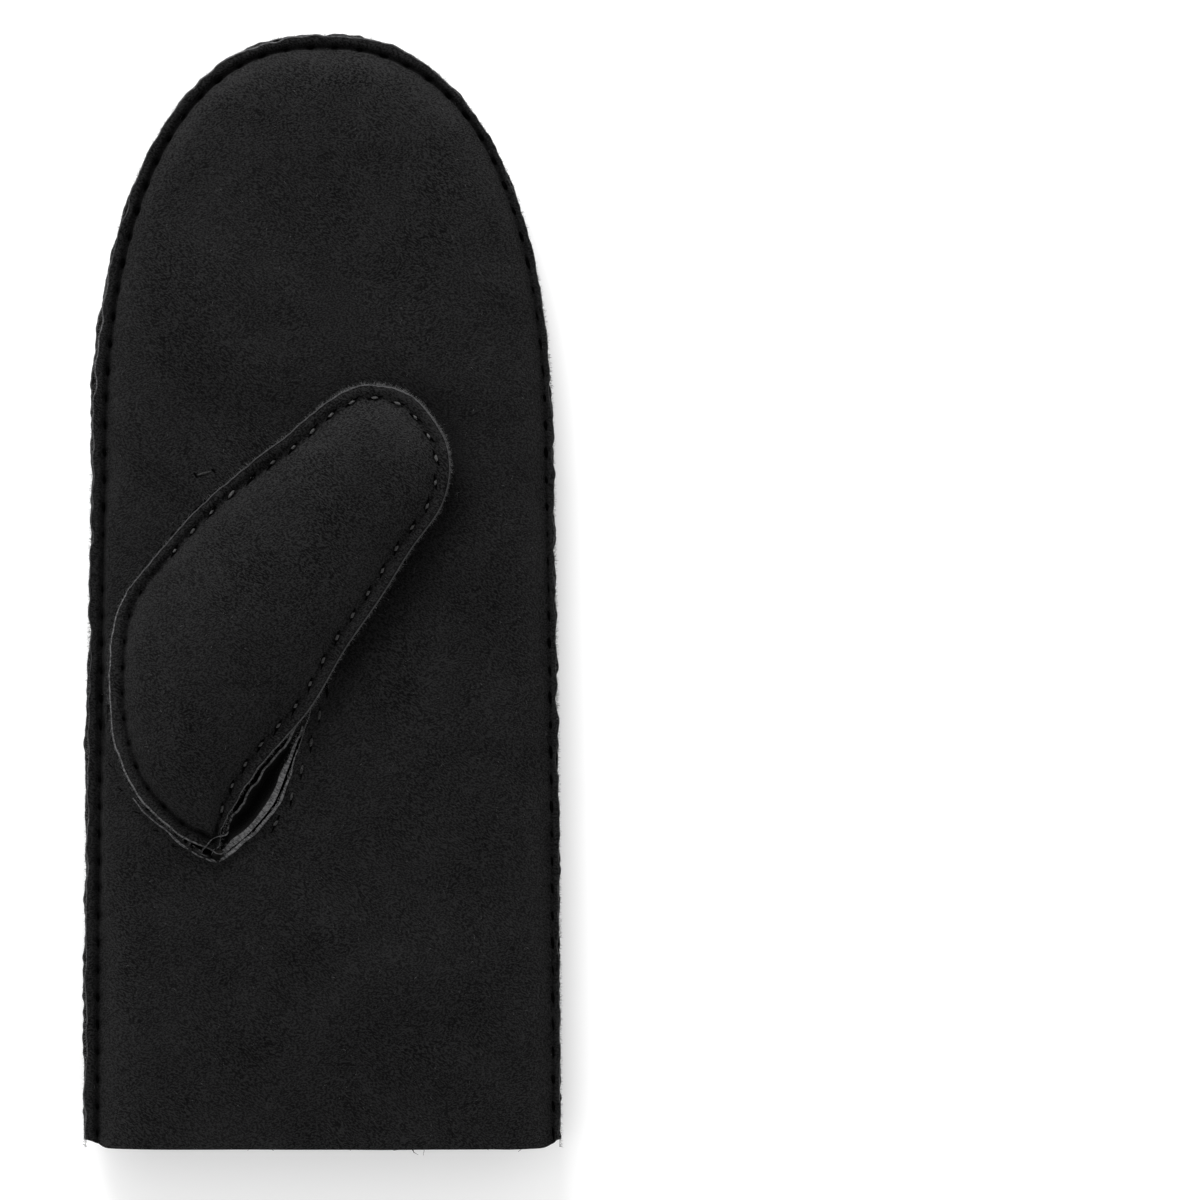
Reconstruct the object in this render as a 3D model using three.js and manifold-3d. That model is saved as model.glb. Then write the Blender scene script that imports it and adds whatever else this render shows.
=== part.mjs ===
// A sheepskin mitten for the left hand, lying on its back with the palm and the thumb on top.
// Millimetres. +X points away from the thumb's side, +Y towards the fingertips, +Z up.
// The origin is on the surface that the mitten lies on, under the middle of its length and width.
import * as THREE from "three";
import { mergeVertices } from "three/addons/utils/BufferGeometryUtils.js";
import Module from "manifold-3d";

// Hand part: its outline
const mittenLength = 280;
const handHalfWidth = 58;
const cuffFlare = 1.8;
const fingertipLength = 110;
const fingertipFullness = 2.35;
const fanShare = 0.74;
const cuffCorner = 2;

// Hand part: its height
const seamHeight = 11;
const palmRise = 14.6;
const palmFullness = 2.6;
const backFullness = 2.6;
const backRollShare = 0.55;

// Sheepskin and its outside seams
const handWall = 2.4;
const thumbWall = 2;
const seamWidth = 3;
const seamWall = 2.1;
const thumbSeamWall = 1.7;
const grooveDepth = 0.7;
const seamGap = 0.3;

// Thumb: its place, outline and height
const thumbFromCuff = 72.5;
const thumbFromSeam = 1.6;
const thumbSlant = THREE.MathUtils.degToRad(56);
const thumbLength = 124.7;
const thumbWidth = 54;
const thumbRise = 17;
const thumbFullness = 2.3;
const thumbRestGap = 0.5;
const thumbBelly = 3.5;
const thumbBackRoll = 16;

// Thumb hole, the slit beside the thumb and the turned-up lip round both
const holeOverlap = 1.5;
const slitDepth = 5.5;
const slitDipPower = 0.7;
const slitTurn = 1.5;
const slitRimHeight = 1;
const slitSpread = 6;
const slitClearance = 1;
const lipWall = 1.5;
const lipProud = 0.4;
const lipRoot = 1;

// Shares of the thumb's edges: where its seam has risen, and where its back and the lip start and end
const leftRiseShare = 0.16;
const rightRiseShare = 0.48;
const underStartShare = 0.11;
const underEndShare = 0.975;
const rootStartShare = 0.1;
const rootLagPower = 2.3;
const underSeamShare = 0.4;
const lipStartShare = 0.24;
const lipEndShare = 0.93;
const lipTaperShare = 0.08;

// How finely the curved panels are faceted, and how close points are that become one
const straightRows = 14;
const fingertipRows = 12;
const thumbRows = 22;
const underRows = 26;
const curveSamples = 240;
const mergeDistance = 1e-4;
const lipSides = 4;

// Height of the palm's crown from the cuff to the fingertips, as a share of its rise
const palmCrown = [
  { along: 0, rise: 0.86 },
  { along: 0.25, rise: 0.97 },
  { along: 0.5, rise: 1 },
  { along: 0.75, rise: 0.96 },
  { along: 1, rise: 0.76 },
];

// Where the columns of a hand panel stand, from the seam's groove to the middle line
const handColumns = [0, 0.03, 0.09, 0.2, 0.38, 0.62, 1];

// Where the columns of the thumb's front stand, from the seam's groove to its middle line
const thumbColumns = [0, 0.06, 0.2, 0.42, 0.7, 1];

// Where the columns of the thumb's back stand, from the palm's edge of it to the thumb's edge
const underColumns = [0, 0.22, 0.42, 0.6, 0.76, 0.88, 0.94, 1];

// Left side of the thumb's outline, from its base to its tip, as shares of its length and width
const thumbLeft = [
  { along: 0, across: 0 },
  { along: 0.002, across: -0.22 },
  { along: 0.02, across: -0.47 },
  { along: 0.085, across: -0.7 },
  { along: 0.18, across: -0.88 },
  { along: 0.31, across: -1.03 },
  { along: 0.45, across: -1.02 },
  { along: 0.62, across: -0.95 },
  { along: 0.8, across: -0.825 },
  { along: 0.91, across: -0.735 },
  { along: 0.975, across: -0.6 },
  { along: 1, across: -0.42 },
];

// Right side of the thumb's outline, from its base to its tip
const thumbRight = [
  { along: 0, across: 0 },
  { along: 0.1, across: -0.065 },
  { along: 0.2, across: -0.072 },
  { along: 0.36, across: -0.026 },
  { along: 0.5, across: -0.044 },
  { along: 0.68, across: -0.037 },
  { along: 0.82, across: -0.024 },
  { along: 0.9, across: -0.055 },
  { along: 0.965, across: -0.18 },
  { along: 1, across: -0.42 },
];

// Edge of the thumb hole that passes under the thumb and along the slit, from its top to its base
const holeRight = [
  { along: 0.617, across: -0.952 },
  { along: 0.625, across: -0.7 },
  { along: 0.56, across: -0.34 },
  { along: 0.45, across: -0.09 },
  { along: 0.34, across: 0.01 },
  { along: 0.235, across: 0.075 },
  { along: 0.16, across: 0.1 },
  { along: 0.093, across: 0.08 },
  { along: 0, across: 0 },
];

// Middle line of the thumb's front with its height, as a share of the thumb's rise over the palm
const thumbSpine = [
  { along: 0.2, across: -0.48, rise: 0.78 },
  { along: 0.5, across: -0.51, rise: 1 },
  { along: 0.83, across: -0.42, rise: 0.95 },
];

// Smooth step from 0 to 1
function ease(share) {
  const t = THREE.MathUtils.clamp(share, 0, 1);
  return t * t * (3 - 2 * t);
}

// Rounded rise from 0 to 1, steep at its foot and level at its top
function crown(share, fullness) {
  const t = THREE.MathUtils.clamp(share, 0, 1);
  return Math.pow(1 - Math.pow(1 - t, fullness), 1 / fullness);
}

// Value of a column of a table at a place between its rows
function tableValue(table, column, along) {
  let upper = 1;
  while (upper < table.length - 1 && table[upper].along < along) {
    upper += 1;
  }
  const from = table[upper - 1];
  const to = table[upper];
  const share = ease((along - from.along) / (to.along - from.along));
  return THREE.MathUtils.lerp(from[column], to[column], share);
}

// Half the width of the hand part at a place along it
function halfWidth(y) {
  const fromTip = mittenLength / 2 - y;
  if (fromTip >= fingertipLength) {
    const share = (fromTip - fingertipLength) / (mittenLength - fingertipLength);
    return handHalfWidth + cuffFlare * (1 - Math.pow(1 - share, 2));
  }
  const inner = Math.pow(1 - fromTip / fingertipLength, fingertipFullness);
  return handHalfWidth * Math.pow(Math.max(0, 1 - inner), 1 / fingertipFullness);
}

// The middle line follows the outline until the fan of the fingertips starts
const fanStart = mittenLength / 2 - fanShare * fingertipLength;
const fanReach = mittenLength / 2 - fanStart;
const fanDepth = (2 / Math.PI) * fanReach;

function spineY(y) {
  if (y <= fanStart) {
    return y;
  }
  return fanStart + fanDepth * Math.sin(((y - fanStart) / fanReach) * (Math.PI / 2));
}

// Places along the hand part where its cross sections stand, from the cuff to the fingertips
function handStations() {
  const start = -mittenLength / 2;
  const straight = mittenLength - fingertipLength;
  const stations = [];
  for (let i = 0; i <= straightRows; i += 1) {
    stations.push(start + (straight * i) / straightRows);
  }
  for (let i = 1; i <= fingertipRows; i += 1) {
    const angle = (Math.PI / 2) * (1 - i / fingertipRows);
    const inner = Math.pow(Math.cos(angle), 2 / fingertipFullness);
    stations.push(start + straight + fingertipLength * inner);
  }
  return stations;
}

// Height of the palm's crown over its groove at a place along the middle line
function palmCrownRise(y) {
  const along = (y + mittenLength / 2) / (mittenLength / 2 + fanStart + fanDepth);
  return palmRise * tableValue(palmCrown, "rise", along);
}

const palmFoot = seamHeight + seamGap / 2 + seamWall - grooveDepth;
const backFoot = seamHeight - seamGap / 2 - seamWall + grooveDepth;

// Height of the palm's outside over the surface that the mitten lies on
function palmTop(x, y) {
  const width = halfWidth(y);
  const share = (width - Math.abs(x) - seamWidth) / (width - seamWidth);
  return palmFoot + palmCrownRise(y) * crown(share, palmFullness);
}

// A sheet is a list of outer points, their partners on the wool side or null, and faces
function newSheet() {
  return { outer: [], inner: [], faces: [], places: new Map() };
}

function addPoint(sheet, outer, inner) {
  const key = `${outer.x.toFixed(3)} ${outer.y.toFixed(3)} ${outer.z.toFixed(3)}`;
  if (!sheet.places.has(key)) {
    sheet.places.set(key, sheet.outer.length);
    sheet.outer.push(outer);
    sheet.inner.push(inner);
  }
  return sheet.places.get(key);
}

// Joins rows of point numbers with two faces for each field, leaving out flat ones
function addFaces(sheet, rows) {
  for (let i = 0; i + 1 < rows.length; i += 1) {
    for (let j = 0; j + 1 < rows[i].length; j += 1) {
      const corners = [rows[i][j], rows[i][j + 1], rows[i + 1][j + 1], rows[i + 1][j]];
      for (const face of [[0, 1, 2], [0, 2, 3]]) {
        const [a, b, c] = face.map((k) => corners[k]);
        if (a !== b && b !== c && c !== a) {
          sheet.faces.push([a, b, c]);
        }
      }
    }
  }
}

// Outward normals at the outer points of a sheet
function sheetNormals(sheet) {
  const normals = sheet.outer.map(() => new THREE.Vector3());
  for (const [a, b, c] of sheet.faces) {
    const side = sheet.outer[b].clone().sub(sheet.outer[a]);
    const other = sheet.outer[c].clone().sub(sheet.outer[a]);
    const normal = side.cross(other);
    for (const corner of [a, b, c]) {
      normals[corner].add(normal);
    }
  }
  return normals.map((normal) => normal.normalize());
}

// Closed wall between a sheet and its wool side, which lies one wall further in
function wallOf(sheet, wall) {
  const normals = sheetNormals(sheet);
  const inner = sheet.inner.map((point, k) => {
    return point ?? sheet.outer[k].clone().addScaledVector(normals[k], -wall);
  });
  const count = sheet.outer.length;
  const triangles = [];
  const edges = new Map();
  for (const [a, b, c] of sheet.faces) {
    triangles.push(a, b, c, a + count, c + count, b + count);
    for (const [from, to] of [[a, b], [b, c], [c, a]]) {
      edges.set(`${from} ${to}`, [from, to]);
    }
  }
  for (const [from, to] of edges.values()) {
    if (!edges.has(`${to} ${from}`)) {
      triangles.push(to, from, from + count, to, from + count, to + count);
    }
  }
  return solidGeometry([...sheet.outer, ...inner], triangles);
}

function solidGeometry(points, triangles) {
  const geometry = new THREE.BufferGeometry();
  const numbers = points.flatMap((point) => point.toArray());
  geometry.setAttribute("position", new THREE.Float32BufferAttribute(numbers, 3));
  geometry.setIndex(triangles);
  return mergeVertices(geometry, mergeDistance);
}

// Row of a hand panel, from the left seam over the middle to the right seam
function handRow(sheet, y, isCuff, heights) {
  const edge = halfWidth(y);
  const middleY = spineY(y);
  const reach = Math.hypot(edge, middleY - y);
  const row = [];
  const place = (side, distance, share) => {
    const part = distance / reach;
    const placeX = side * edge * (1 - part);
    const corner = isCuff && distance === 0 ? cuffCorner : 0;
    const placeY = THREE.MathUtils.lerp(y, middleY, part) + corner;
    const { outer, inner } = heights(share, THREE.MathUtils.lerp(y, middleY, share ?? 0));
    const back = inner === null ? null : new THREE.Vector3(placeX, placeY, inner);
    return addPoint(sheet, new THREE.Vector3(placeX, placeY, outer), back);
  };
  for (const side of [-1, 1]) {
    const half = [place(side, 0, null)];
    for (const share of handColumns) {
      half.push(place(side, seamWidth + share * (reach - seamWidth), share));
    }
    if (side < 0) {
      row.push(...half);
    } else {
      row.push(...half.reverse().slice(1));
    }
  }
  return row;
}

function handPanel(heights, isUpper) {
  const sheet = newSheet();
  const rows = handStations().map((y, i) => handRow(sheet, y, i === 0, heights));
  addFaces(sheet, isUpper ? rows : rows.reverse());
  return wallOf(sheet, handWall);
}

// Palm: a seam edge, a groove and a crowned field
function palmHeights(share, y) {
  const seamFace = seamHeight + seamGap / 2;
  if (share === null) {
    return { outer: seamFace + seamWall, inner: seamFace };
  }
  if (share === 0) {
    return { outer: palmFoot, inner: seamFace };
  }
  return { outer: palmFoot + palmCrownRise(y) * crown(share, palmFullness), inner: null };
}

// Back: the same edge turned over, and a field that its weight flattens where it lies
function backHeights(share) {
  const seamFace = seamHeight - seamGap / 2;
  if (share === null) {
    return { outer: seamFace - seamWall, inner: seamFace };
  }
  if (share === 0) {
    return { outer: backFoot, inner: seamFace };
  }
  return { outer: backFoot * (1 - crown(share / backRollShare, backFullness)), inner: null };
}

// Point of the thumb's own frame, along its slanted axis and across it, turned to the hand's frame
function thumbOffset(row) {
  const offset = new THREE.Vector3(row.along * thumbLength, -row.across * thumbWidth, 0);
  return offset.applyAxisAngle(new THREE.Vector3(0, 0, 1), thumbSlant);
}

// The thumb's widest place stands just inside the side seam, and its base over the cuff
const thumbReach = Math.min(...thumbLeft.map((row) => thumbOffset(row).x));
const thumbBaseX = thumbFromSeam + seamWidth - handHalfWidth - thumbReach;
const thumbBase = new THREE.Vector3(thumbBaseX, thumbFromCuff - mittenLength / 2, 0);

function thumbPlace(row) {
  return thumbOffset(row).add(thumbBase);
}

function thumbCurve(table) {
  return new THREE.CatmullRomCurve3(table.map(thumbPlace), false, "centripetal");
}

const leftCurve = thumbCurve(thumbLeft);
const rightCurve = thumbCurve(thumbRight);
const holeCurve = thumbCurve(holeRight);
const leftLength = leftCurve.getLength();
const rightLength = rightCurve.getLength();

// Share of the left side, from the base, up to which the palm is sewn to the thumb's front
function sewnShare() {
  const top = thumbPlace(holeRight[0]);
  let best = 0;
  for (let i = 0; i <= curveSamples; i += 1) {
    const share = i / curveSamples;
    const nearer = leftCurve.getPointAt(share).distanceTo(top) < leftCurve.getPointAt(best).distanceTo(top);
    best = nearer ? share : best;
  }
  return best;
}

const sewn = sewnShare();

// How far the underside of the thumb's seam stands over the palm, on either side of the thumb
const freeLift = thumbRestGap + thumbSeamWall + seamGap + thumbBelly;

function leftLift(share) {
  return THREE.MathUtils.lerp(seamGap, freeLift, ease((share - sewn) / leftRiseShare));
}

function rightLift(share) {
  return THREE.MathUtils.lerp(seamGap, freeLift, ease(share / rightRiseShare));
}

// Thumb's front: rows fan out from its middle line to its outline
function thumbFrontPanel() {
  const sheet = newSheet();
  const spine = thumbCurve(thumbSpine);
  const rows = [];
  for (let k = 0; k <= thumbRows; k += 1) {
    const share = k / thumbRows;
    const spineShare = (1 - Math.cos(Math.PI * share)) / 2;
    const middle = spine.getPointAt(spineShare);
    const along = THREE.MathUtils.lerp(thumbSpine[0].along, thumbSpine[2].along, spineShare);
    const crest = palmTop(middle.x, middle.y) + thumbRise * tableValue(thumbSpine, "rise", along);
    const left = thumbFrontHalf(sheet, leftCurve.getPointAt(share), middle, crest, leftLift(share));
    const right = thumbFrontHalf(sheet, rightCurve.getPointAt(share), middle, crest, rightLift(share));
    rows.push([...left, ...right.reverse().slice(1)]);
  }
  addFaces(sheet, rows);
  return wallOf(sheet, thumbWall);
}

function thumbFrontHalf(sheet, edge, middle, crest, lift) {
  const reach = edge.distanceTo(middle);
  const half = [];
  const seamFace = (point) => palmTop(point.x, point.y) + lift;
  const rimFace = seamFace(edge);
  const rim = new THREE.Vector3(edge.x, edge.y, rimFace + thumbSeamWall);
  half.push(addPoint(sheet, rim, new THREE.Vector3(edge.x, edge.y, rimFace)));
  const foot = edge.clone().lerp(middle, seamWidth / reach);
  const footFace = seamFace(foot);
  for (const share of thumbColumns) {
    const place = foot.clone().lerp(middle, share);
    const footTop = footFace + thumbSeamWall - grooveDepth;
    place.z = THREE.MathUtils.lerp(footTop, crest, crown(share, thumbFullness));
    const inner = share === 0 ? new THREE.Vector3(place.x, place.y, footFace) : null;
    half.push(addPoint(sheet, place, inner));
  }
  return half;
}

// Outline of the thumb from the top of its hole over the tip to its base, with the seam's lift
function thumbEdgeAt(share) {
  const freeLeft = (1 - sewn) * leftLength;
  const run = share * (freeLeft + rightLength);
  if (run < freeLeft) {
    const leftShare = sewn + run / leftLength;
    return { place: leftCurve.getPointAt(leftShare), lift: leftLift(leftShare), isRight: false };
  }
  const rightShare = 1 - (run - freeLeft) / rightLength;
  return { place: rightCurve.getPointAt(rightShare), lift: rightLift(rightShare), isRight: true };
}

// Root of the thumb's back, just inside the hole's cut edge
function thumbRootAt(share) {
  const tangent = holeCurve.getTangentAt(share);
  const inset = seamGap + thumbSeamWall + holeOverlap;
  const root = holeCurve.getPointAt(share);
  return new THREE.Vector3(root.x + tangent.y * inset, root.y - tangent.x * inset, 0);
}

// Thumb's back: its suede rests on the palm, turns upright at the crotch and dips in the slit
function thumbBackPanel() {
  const sheet = newSheet();
  const rows = [];
  const across = new THREE.Vector3(Math.sin(thumbSlant), -Math.cos(thumbSlant), 0);
  for (let k = 0; k <= underRows; k += 1) {
    const share = THREE.MathUtils.lerp(underStartShare, underEndShare, k / underRows);
    const edge = thumbEdgeAt(share);
    const root = thumbRootAt(THREE.MathUtils.lerp(rootStartShare, 1, Math.pow(share, rootLagPower)));
    const reach = root.distanceTo(edge.place);
    const overhang = root.clone().sub(edge.place).dot(across);
    const turned = edge.isRight ? ease((overhang + slitTurn) / (2 * slitTurn)) : 0;
    const open = edge.isRight ? ease(overhang / slitSpread) : 0;
    const seam = Math.min(seamWidth, underSeamShare * reach) * (1 - open);
    rows.push(underColumns.map((column) => {
      const place = root.clone().lerp(edge.place, column);
      const top = palmTop(place.x, place.y);
      const rest = top + THREE.MathUtils.lerp(thumbRestGap, slitRimHeight, turned);
      const drop = THREE.MathUtils.lerp(thumbSeamWall, slitClearance, turned);
      const seamFace = top + edge.lift - seamGap - drop;
      const roll = Math.min(thumbBackRoll, reach - seam);
      const hang = crown(((1 - column) * reach - seam) / roll, thumbFullness);
      const dip = Math.pow(Math.sin(Math.PI * column), slitDipPower);
      place.z = THREE.MathUtils.lerp(seamFace, rest, hang) - open * slitDepth * dip;
      return addPoint(sheet, place, null);
    }));
  }
  addFaces(sheet, rows);
  return wallOf(sheet, thumbSeamWall);
}

// Closed line of the thumb hole's collar: the sewn part of the thumb's outline and the hole's edge
function collarLine() {
  const points = [];
  const steps = thumbRows * 2;
  for (let i = 0; i < steps; i += 1) {
    points.push(holeCurve.getPointAt(i / steps));
  }
  for (let i = 0; i < steps; i += 1) {
    points.push(leftCurve.getPointAt((sewn * i) / steps));
  }
  return points;
}

// The collar's line moved outwards, or inwards by a negative distance
function movedLine(points, distance) {
  const count = points.length;
  return points.map((point, i) => {
    const tangent = points[(i + 1) % count].clone().sub(points[(i + count - 1) % count]).normalize();
    return new THREE.Vector3(point.x - tangent.y * distance, point.y + tangent.x * distance, 0);
  });
}

// Upright block through the palm in the outline of the thumb hole
function holeBlock(line) {
  const shape = new THREE.Shape(line.map((point) => new THREE.Vector2(point.x, point.y)));
  const depth = palmFoot + palmRise + thumbRise;
  return new THREE.ExtrudeGeometry(shape, { depth, bevelEnabled: false });
}

// Lip of the palm that stands up along the slit, round the base and up the sewn side of the thumb
function lipBar(points) {
  const inside = movedLine(points, seamGap);
  const outside = movedLine(points, seamGap + lipWall);
  const count = points.length;
  const first = Math.round(count * lipStartShare);
  const last = Math.round(count * lipEndShare);
  const lipHeight = seamGap + thumbSeamWall + lipProud;
  const corners = [];
  const triangles = [];
  for (let i = first; i <= last; i += 1) {
    const share = (i - first) / (last - first);
    const height = lipHeight * ease(Math.min(share, 1 - share) / lipTaperShare);
    const rim = palmTop(points[i].x, points[i].y) + height;
    for (const [line, isTop] of [[inside, true], [outside, true], [outside, false], [inside, false]]) {
      const foot = palmTop(line[i].x, line[i].y) - lipRoot;
      corners.push(new THREE.Vector3(line[i].x, line[i].y, isTop ? rim : foot));
    }
  }
  const sections = corners.length / lipSides;
  for (let i = 0; i + 1 < sections; i += 1) {
    for (let j = 0; j < lipSides; j += 1) {
      const a = lipSides * i + j;
      const b = lipSides * i + ((j + 1) % lipSides);
      triangles.push(a, b + lipSides, b, a, a + lipSides, b + lipSides);
    }
  }
  const end = corners.length - lipSides;
  triangles.push(0, 1, 2, 0, 2, 3, end, end + 2, end + 1, end, end + 3, end + 2);
  return solidGeometry(corners, triangles);
}

const wasm = await Module();
wasm.setup();

function toManifold(geometry) {
  const bare = new THREE.BufferGeometry();
  bare.setAttribute("position", geometry.getAttribute("position"));
  bare.setIndex(geometry.getIndex());
  const merged = mergeVertices(bare, mergeDistance);
  const vertProperties = new Float32Array(merged.getAttribute("position").array);
  const triVerts = new Uint32Array(merged.getIndex().array);
  return new wasm.Manifold(new wasm.Mesh({ numProp: 3, vertProperties, triVerts }));
}

function toGeometry(solid) {
  const { vertProperties, triVerts } = solid.getMesh();
  const geometry = new THREE.BufferGeometry();
  geometry.setAttribute("position", new THREE.Float32BufferAttribute(vertProperties, 3));
  geometry.setIndex([...triVerts]);
  return geometry;
}

// Palm with its lip, cut through where the thumb goes in
function palmPanel() {
  const collar = collarLine();
  const lipped = toManifold(handPanel(palmHeights, true)).add(toManifold(lipBar(collar)));
  return toGeometry(lipped.subtract(toManifold(holeBlock(movedLine(collar, -holeOverlap)))));
}

function suede(name, geometry, color) {
  geometry.computeVertexNormals();
  const material = new THREE.MeshStandardMaterial({ color, roughness: 0.95, metalness: 0 });
  const mesh = new THREE.Mesh(geometry, material);
  mesh.name = name;
  return mesh;
}

const mitten = new THREE.Group();
mitten.add(suede("back_panel", handPanel(backHeights, false), 0x1c1c1d));
mitten.add(suede("palm_panel", palmPanel(), 0x1e1e1f));
mitten.add(suede("thumb_front_panel", thumbFrontPanel(), 0x202021));
mitten.add(suede("thumb_back_panel", thumbBackPanel(), 0x1c1c1d));

export default mitten;
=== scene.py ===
"""Finishes the left sheepskin mitten: suede panels, outside seams, thread, wool, fuzz and studio."""
import logging
import math
from dataclasses import dataclass, field
from enum import Enum

import bmesh
import bpy
import numpy as np
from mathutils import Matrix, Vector
from mathutils.bvhtree import BVHTree


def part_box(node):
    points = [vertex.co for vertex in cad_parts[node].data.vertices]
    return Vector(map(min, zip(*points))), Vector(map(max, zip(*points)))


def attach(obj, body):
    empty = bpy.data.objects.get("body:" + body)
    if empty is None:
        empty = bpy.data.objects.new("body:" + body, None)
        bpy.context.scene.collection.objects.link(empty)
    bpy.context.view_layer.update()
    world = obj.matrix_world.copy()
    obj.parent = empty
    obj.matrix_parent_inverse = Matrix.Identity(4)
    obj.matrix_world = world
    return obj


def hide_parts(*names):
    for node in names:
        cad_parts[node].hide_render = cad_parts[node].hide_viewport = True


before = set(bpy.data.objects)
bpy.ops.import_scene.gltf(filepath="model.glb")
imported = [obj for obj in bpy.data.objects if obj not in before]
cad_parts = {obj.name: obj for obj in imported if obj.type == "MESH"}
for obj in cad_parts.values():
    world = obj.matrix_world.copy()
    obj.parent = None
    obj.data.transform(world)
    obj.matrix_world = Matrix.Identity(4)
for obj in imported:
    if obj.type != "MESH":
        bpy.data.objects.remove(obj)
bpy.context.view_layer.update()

LOG = logging.getLogger("mitten")
BODY = "root"
# Point attribute of painted shade, and of painted light where below 0, that scales a suede's tone.
PAINTED_LIGHT = "painted_light"

# Metres, in the frame of the solids: +X away from the thumb's side, +Y to the fingertips, +Z up.


class Part(Enum):
    """Material indices that every suede panel has, in this order."""

    SUEDE = 0
    WOOL_SIDE = 1
    CUT_EDGE = 2


def smooth(share: np.ndarray) -> np.ndarray:
    """Return a smooth step from 0 to 1.

    Args:
        share: Where the step is read, 0 at its start and 1 at its end.

    Returns:
        The step's values.
    """
    t = np.clip(share, 0.0, 1.0)
    return t * t * (3.0 - 2.0 * t)


def crown(share: np.ndarray, fullness: float) -> np.ndarray:
    """Return a rounded rise from 0 to 1, steep at its foot and level at its top.

    Args:
        share: Place on the rise, 0 at its foot and 1 at its top.
        fullness: Power of the rise; 2 is a quarter circle.

    Returns:
        The rise's values.
    """
    t = np.clip(share, 0.0, 1.0)
    return (1.0 - (1.0 - t) ** fullness) ** (1.0 / fullness)


def soft_foot(distance: np.ndarray, reach: float) -> np.ndarray:
    """Return a rise from 0 to 1 that starts level, for a skin that bends up out of a seam."""
    return 1.0 - np.exp(-((np.maximum(distance, 0.0) / reach) ** 1.5))


def bell(distance: np.ndarray, width: float) -> np.ndarray:
    """Return a bell curve of height 1 with the given half width."""
    return np.exp(-((distance / width) ** 2))


def soft_noise(points: np.ndarray, wavelength: float, seed: int) -> np.ndarray:
    """Return smooth noise of about -1 to 1, the same each run.

    Args:
        points: Places, with three numbers along the last axis.
        wavelength: Usual distance between two swells, in metres.
        seed: Seed of the draws.

    Returns:
        One value for each place.
    """
    draws = np.random.default_rng(seed)
    waves = 14
    total = np.zeros(points.shape[:-1])
    for _ in range(waves):
        direction = draws.normal(size=3)
        direction /= np.linalg.norm(direction)
        stretch = draws.uniform(0.6, 1.7)
        phase = draws.uniform(0.0, 2.0 * math.pi)
        total += np.sin(points @ direction * (2.0 * math.pi / (wavelength * stretch)) + phase)
    return total / math.sqrt(waves)


def table_value(rows: list[tuple[float, float]], along: np.ndarray) -> np.ndarray:
    """Return a table's second column, eased between its rows.

    Args:
        rows: Pairs of a place and its value.
        along: Places at which the table is read.

    Returns:
        The values at those places.
    """
    places = np.array([row[0] for row in rows])
    values = np.array([row[1] for row in rows])
    upper = np.clip(np.searchsorted(places, along, side="left"), 1, len(rows) - 1)
    share = smooth((along - places[upper - 1]) / (places[upper] - places[upper - 1]))
    return values[upper - 1] + (values[upper] - values[upper - 1]) * share


class Line:
    """Flat line that is read by the share of its length."""

    def __init__(self, points: np.ndarray) -> None:
        """Measure a line.

        Args:
            points: Its points, close together, with two numbers each.
        """
        self.points = points
        steps = np.linalg.norm(np.diff(points, axis=0), axis=1)
        self.run = np.concatenate([[0.0], np.cumsum(steps)])
        self.length = float(self.run[-1])

    def at(self, share: np.ndarray) -> np.ndarray:
        """Return the points at shares of the length."""
        run = np.clip(share, 0.0, 1.0) * self.length
        return np.stack([np.interp(run, self.run, self.points[:, k]) for k in (0, 1)], axis=-1)

    def tangent(self, share: np.ndarray) -> np.ndarray:
        """Return the unit tangents at shares of the length."""
        reach = 0.0015 / self.length
        step = self.at(np.asarray(share) + reach) - self.at(np.asarray(share) - reach)
        return step / np.linalg.norm(step, axis=-1, keepdims=True)

    def distance(self, places: np.ndarray) -> np.ndarray:
        """Return how far flat places lie from the line, positive on its left.

        Args:
            places: Places with two numbers along the last axis.

        Returns:
            The signed distances in metres.
        """
        flat = places.reshape(-1, 2)
        start = self.points[:-1]
        step = np.diff(self.points, axis=0)
        square = np.maximum((step ** 2).sum(axis=1), 1e-18)
        best = np.full(len(flat), np.inf)
        side = np.ones(len(flat))
        for origin, along, size in zip(start, step, square):
            offset = flat - origin
            share = np.clip(offset @ along / size, 0.0, 1.0)
            away = offset - share[:, None] * along
            gap = np.hypot(away[:, 0], away[:, 1])
            nearer = gap < best
            best = np.where(nearer, gap, best)
            side = np.where(nearer, np.sign(along[0] * offset[:, 1] - along[1] * offset[:, 0]), side)
        return (best * side).reshape(places.shape[:-1])


def centripetal_line(points: np.ndarray, samples: int = 40, after: np.ndarray | None = None) -> Line:
    """Return the smooth line through a few points.

    Args:
        points: The points, with two numbers each.
        samples: How many steps each stretch gets.
        after: Point that the line would go on to, or none where it ends straight.

    Returns:
        The line.
    """
    after = 2 * points[-1] - points[-2] if after is None else after
    ends = np.vstack([2 * points[0] - points[1], points, after])
    t = np.linspace(0.0, 1.0, samples, endpoint=False)[:, None]
    dense = []
    for p0, p1, p2, p3 in zip(ends, ends[1:], ends[2:], ends[3:]):
        d0, d1, d2 = (math.sqrt(np.linalg.norm(b - a)) for a, b in ((p0, p1), (p1, p2), (p2, p3)))
        start = ((p1 - p0) / d0 - (p2 - p0) / (d0 + d1) + (p2 - p1) / d1) * d1
        end = ((p2 - p1) / d1 - (p3 - p1) / (d1 + d2) + (p3 - p2) / d2) * d1
        bend = 3 * (p2 - p1) - 2 * start - end
        twist = 2 * (p1 - p2) + start + end
        dense.append(p1 + start * t + bend * t ** 2 + twist * t ** 3)
    dense.append(points[-1:])
    return Line(np.vstack(dense))


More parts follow.
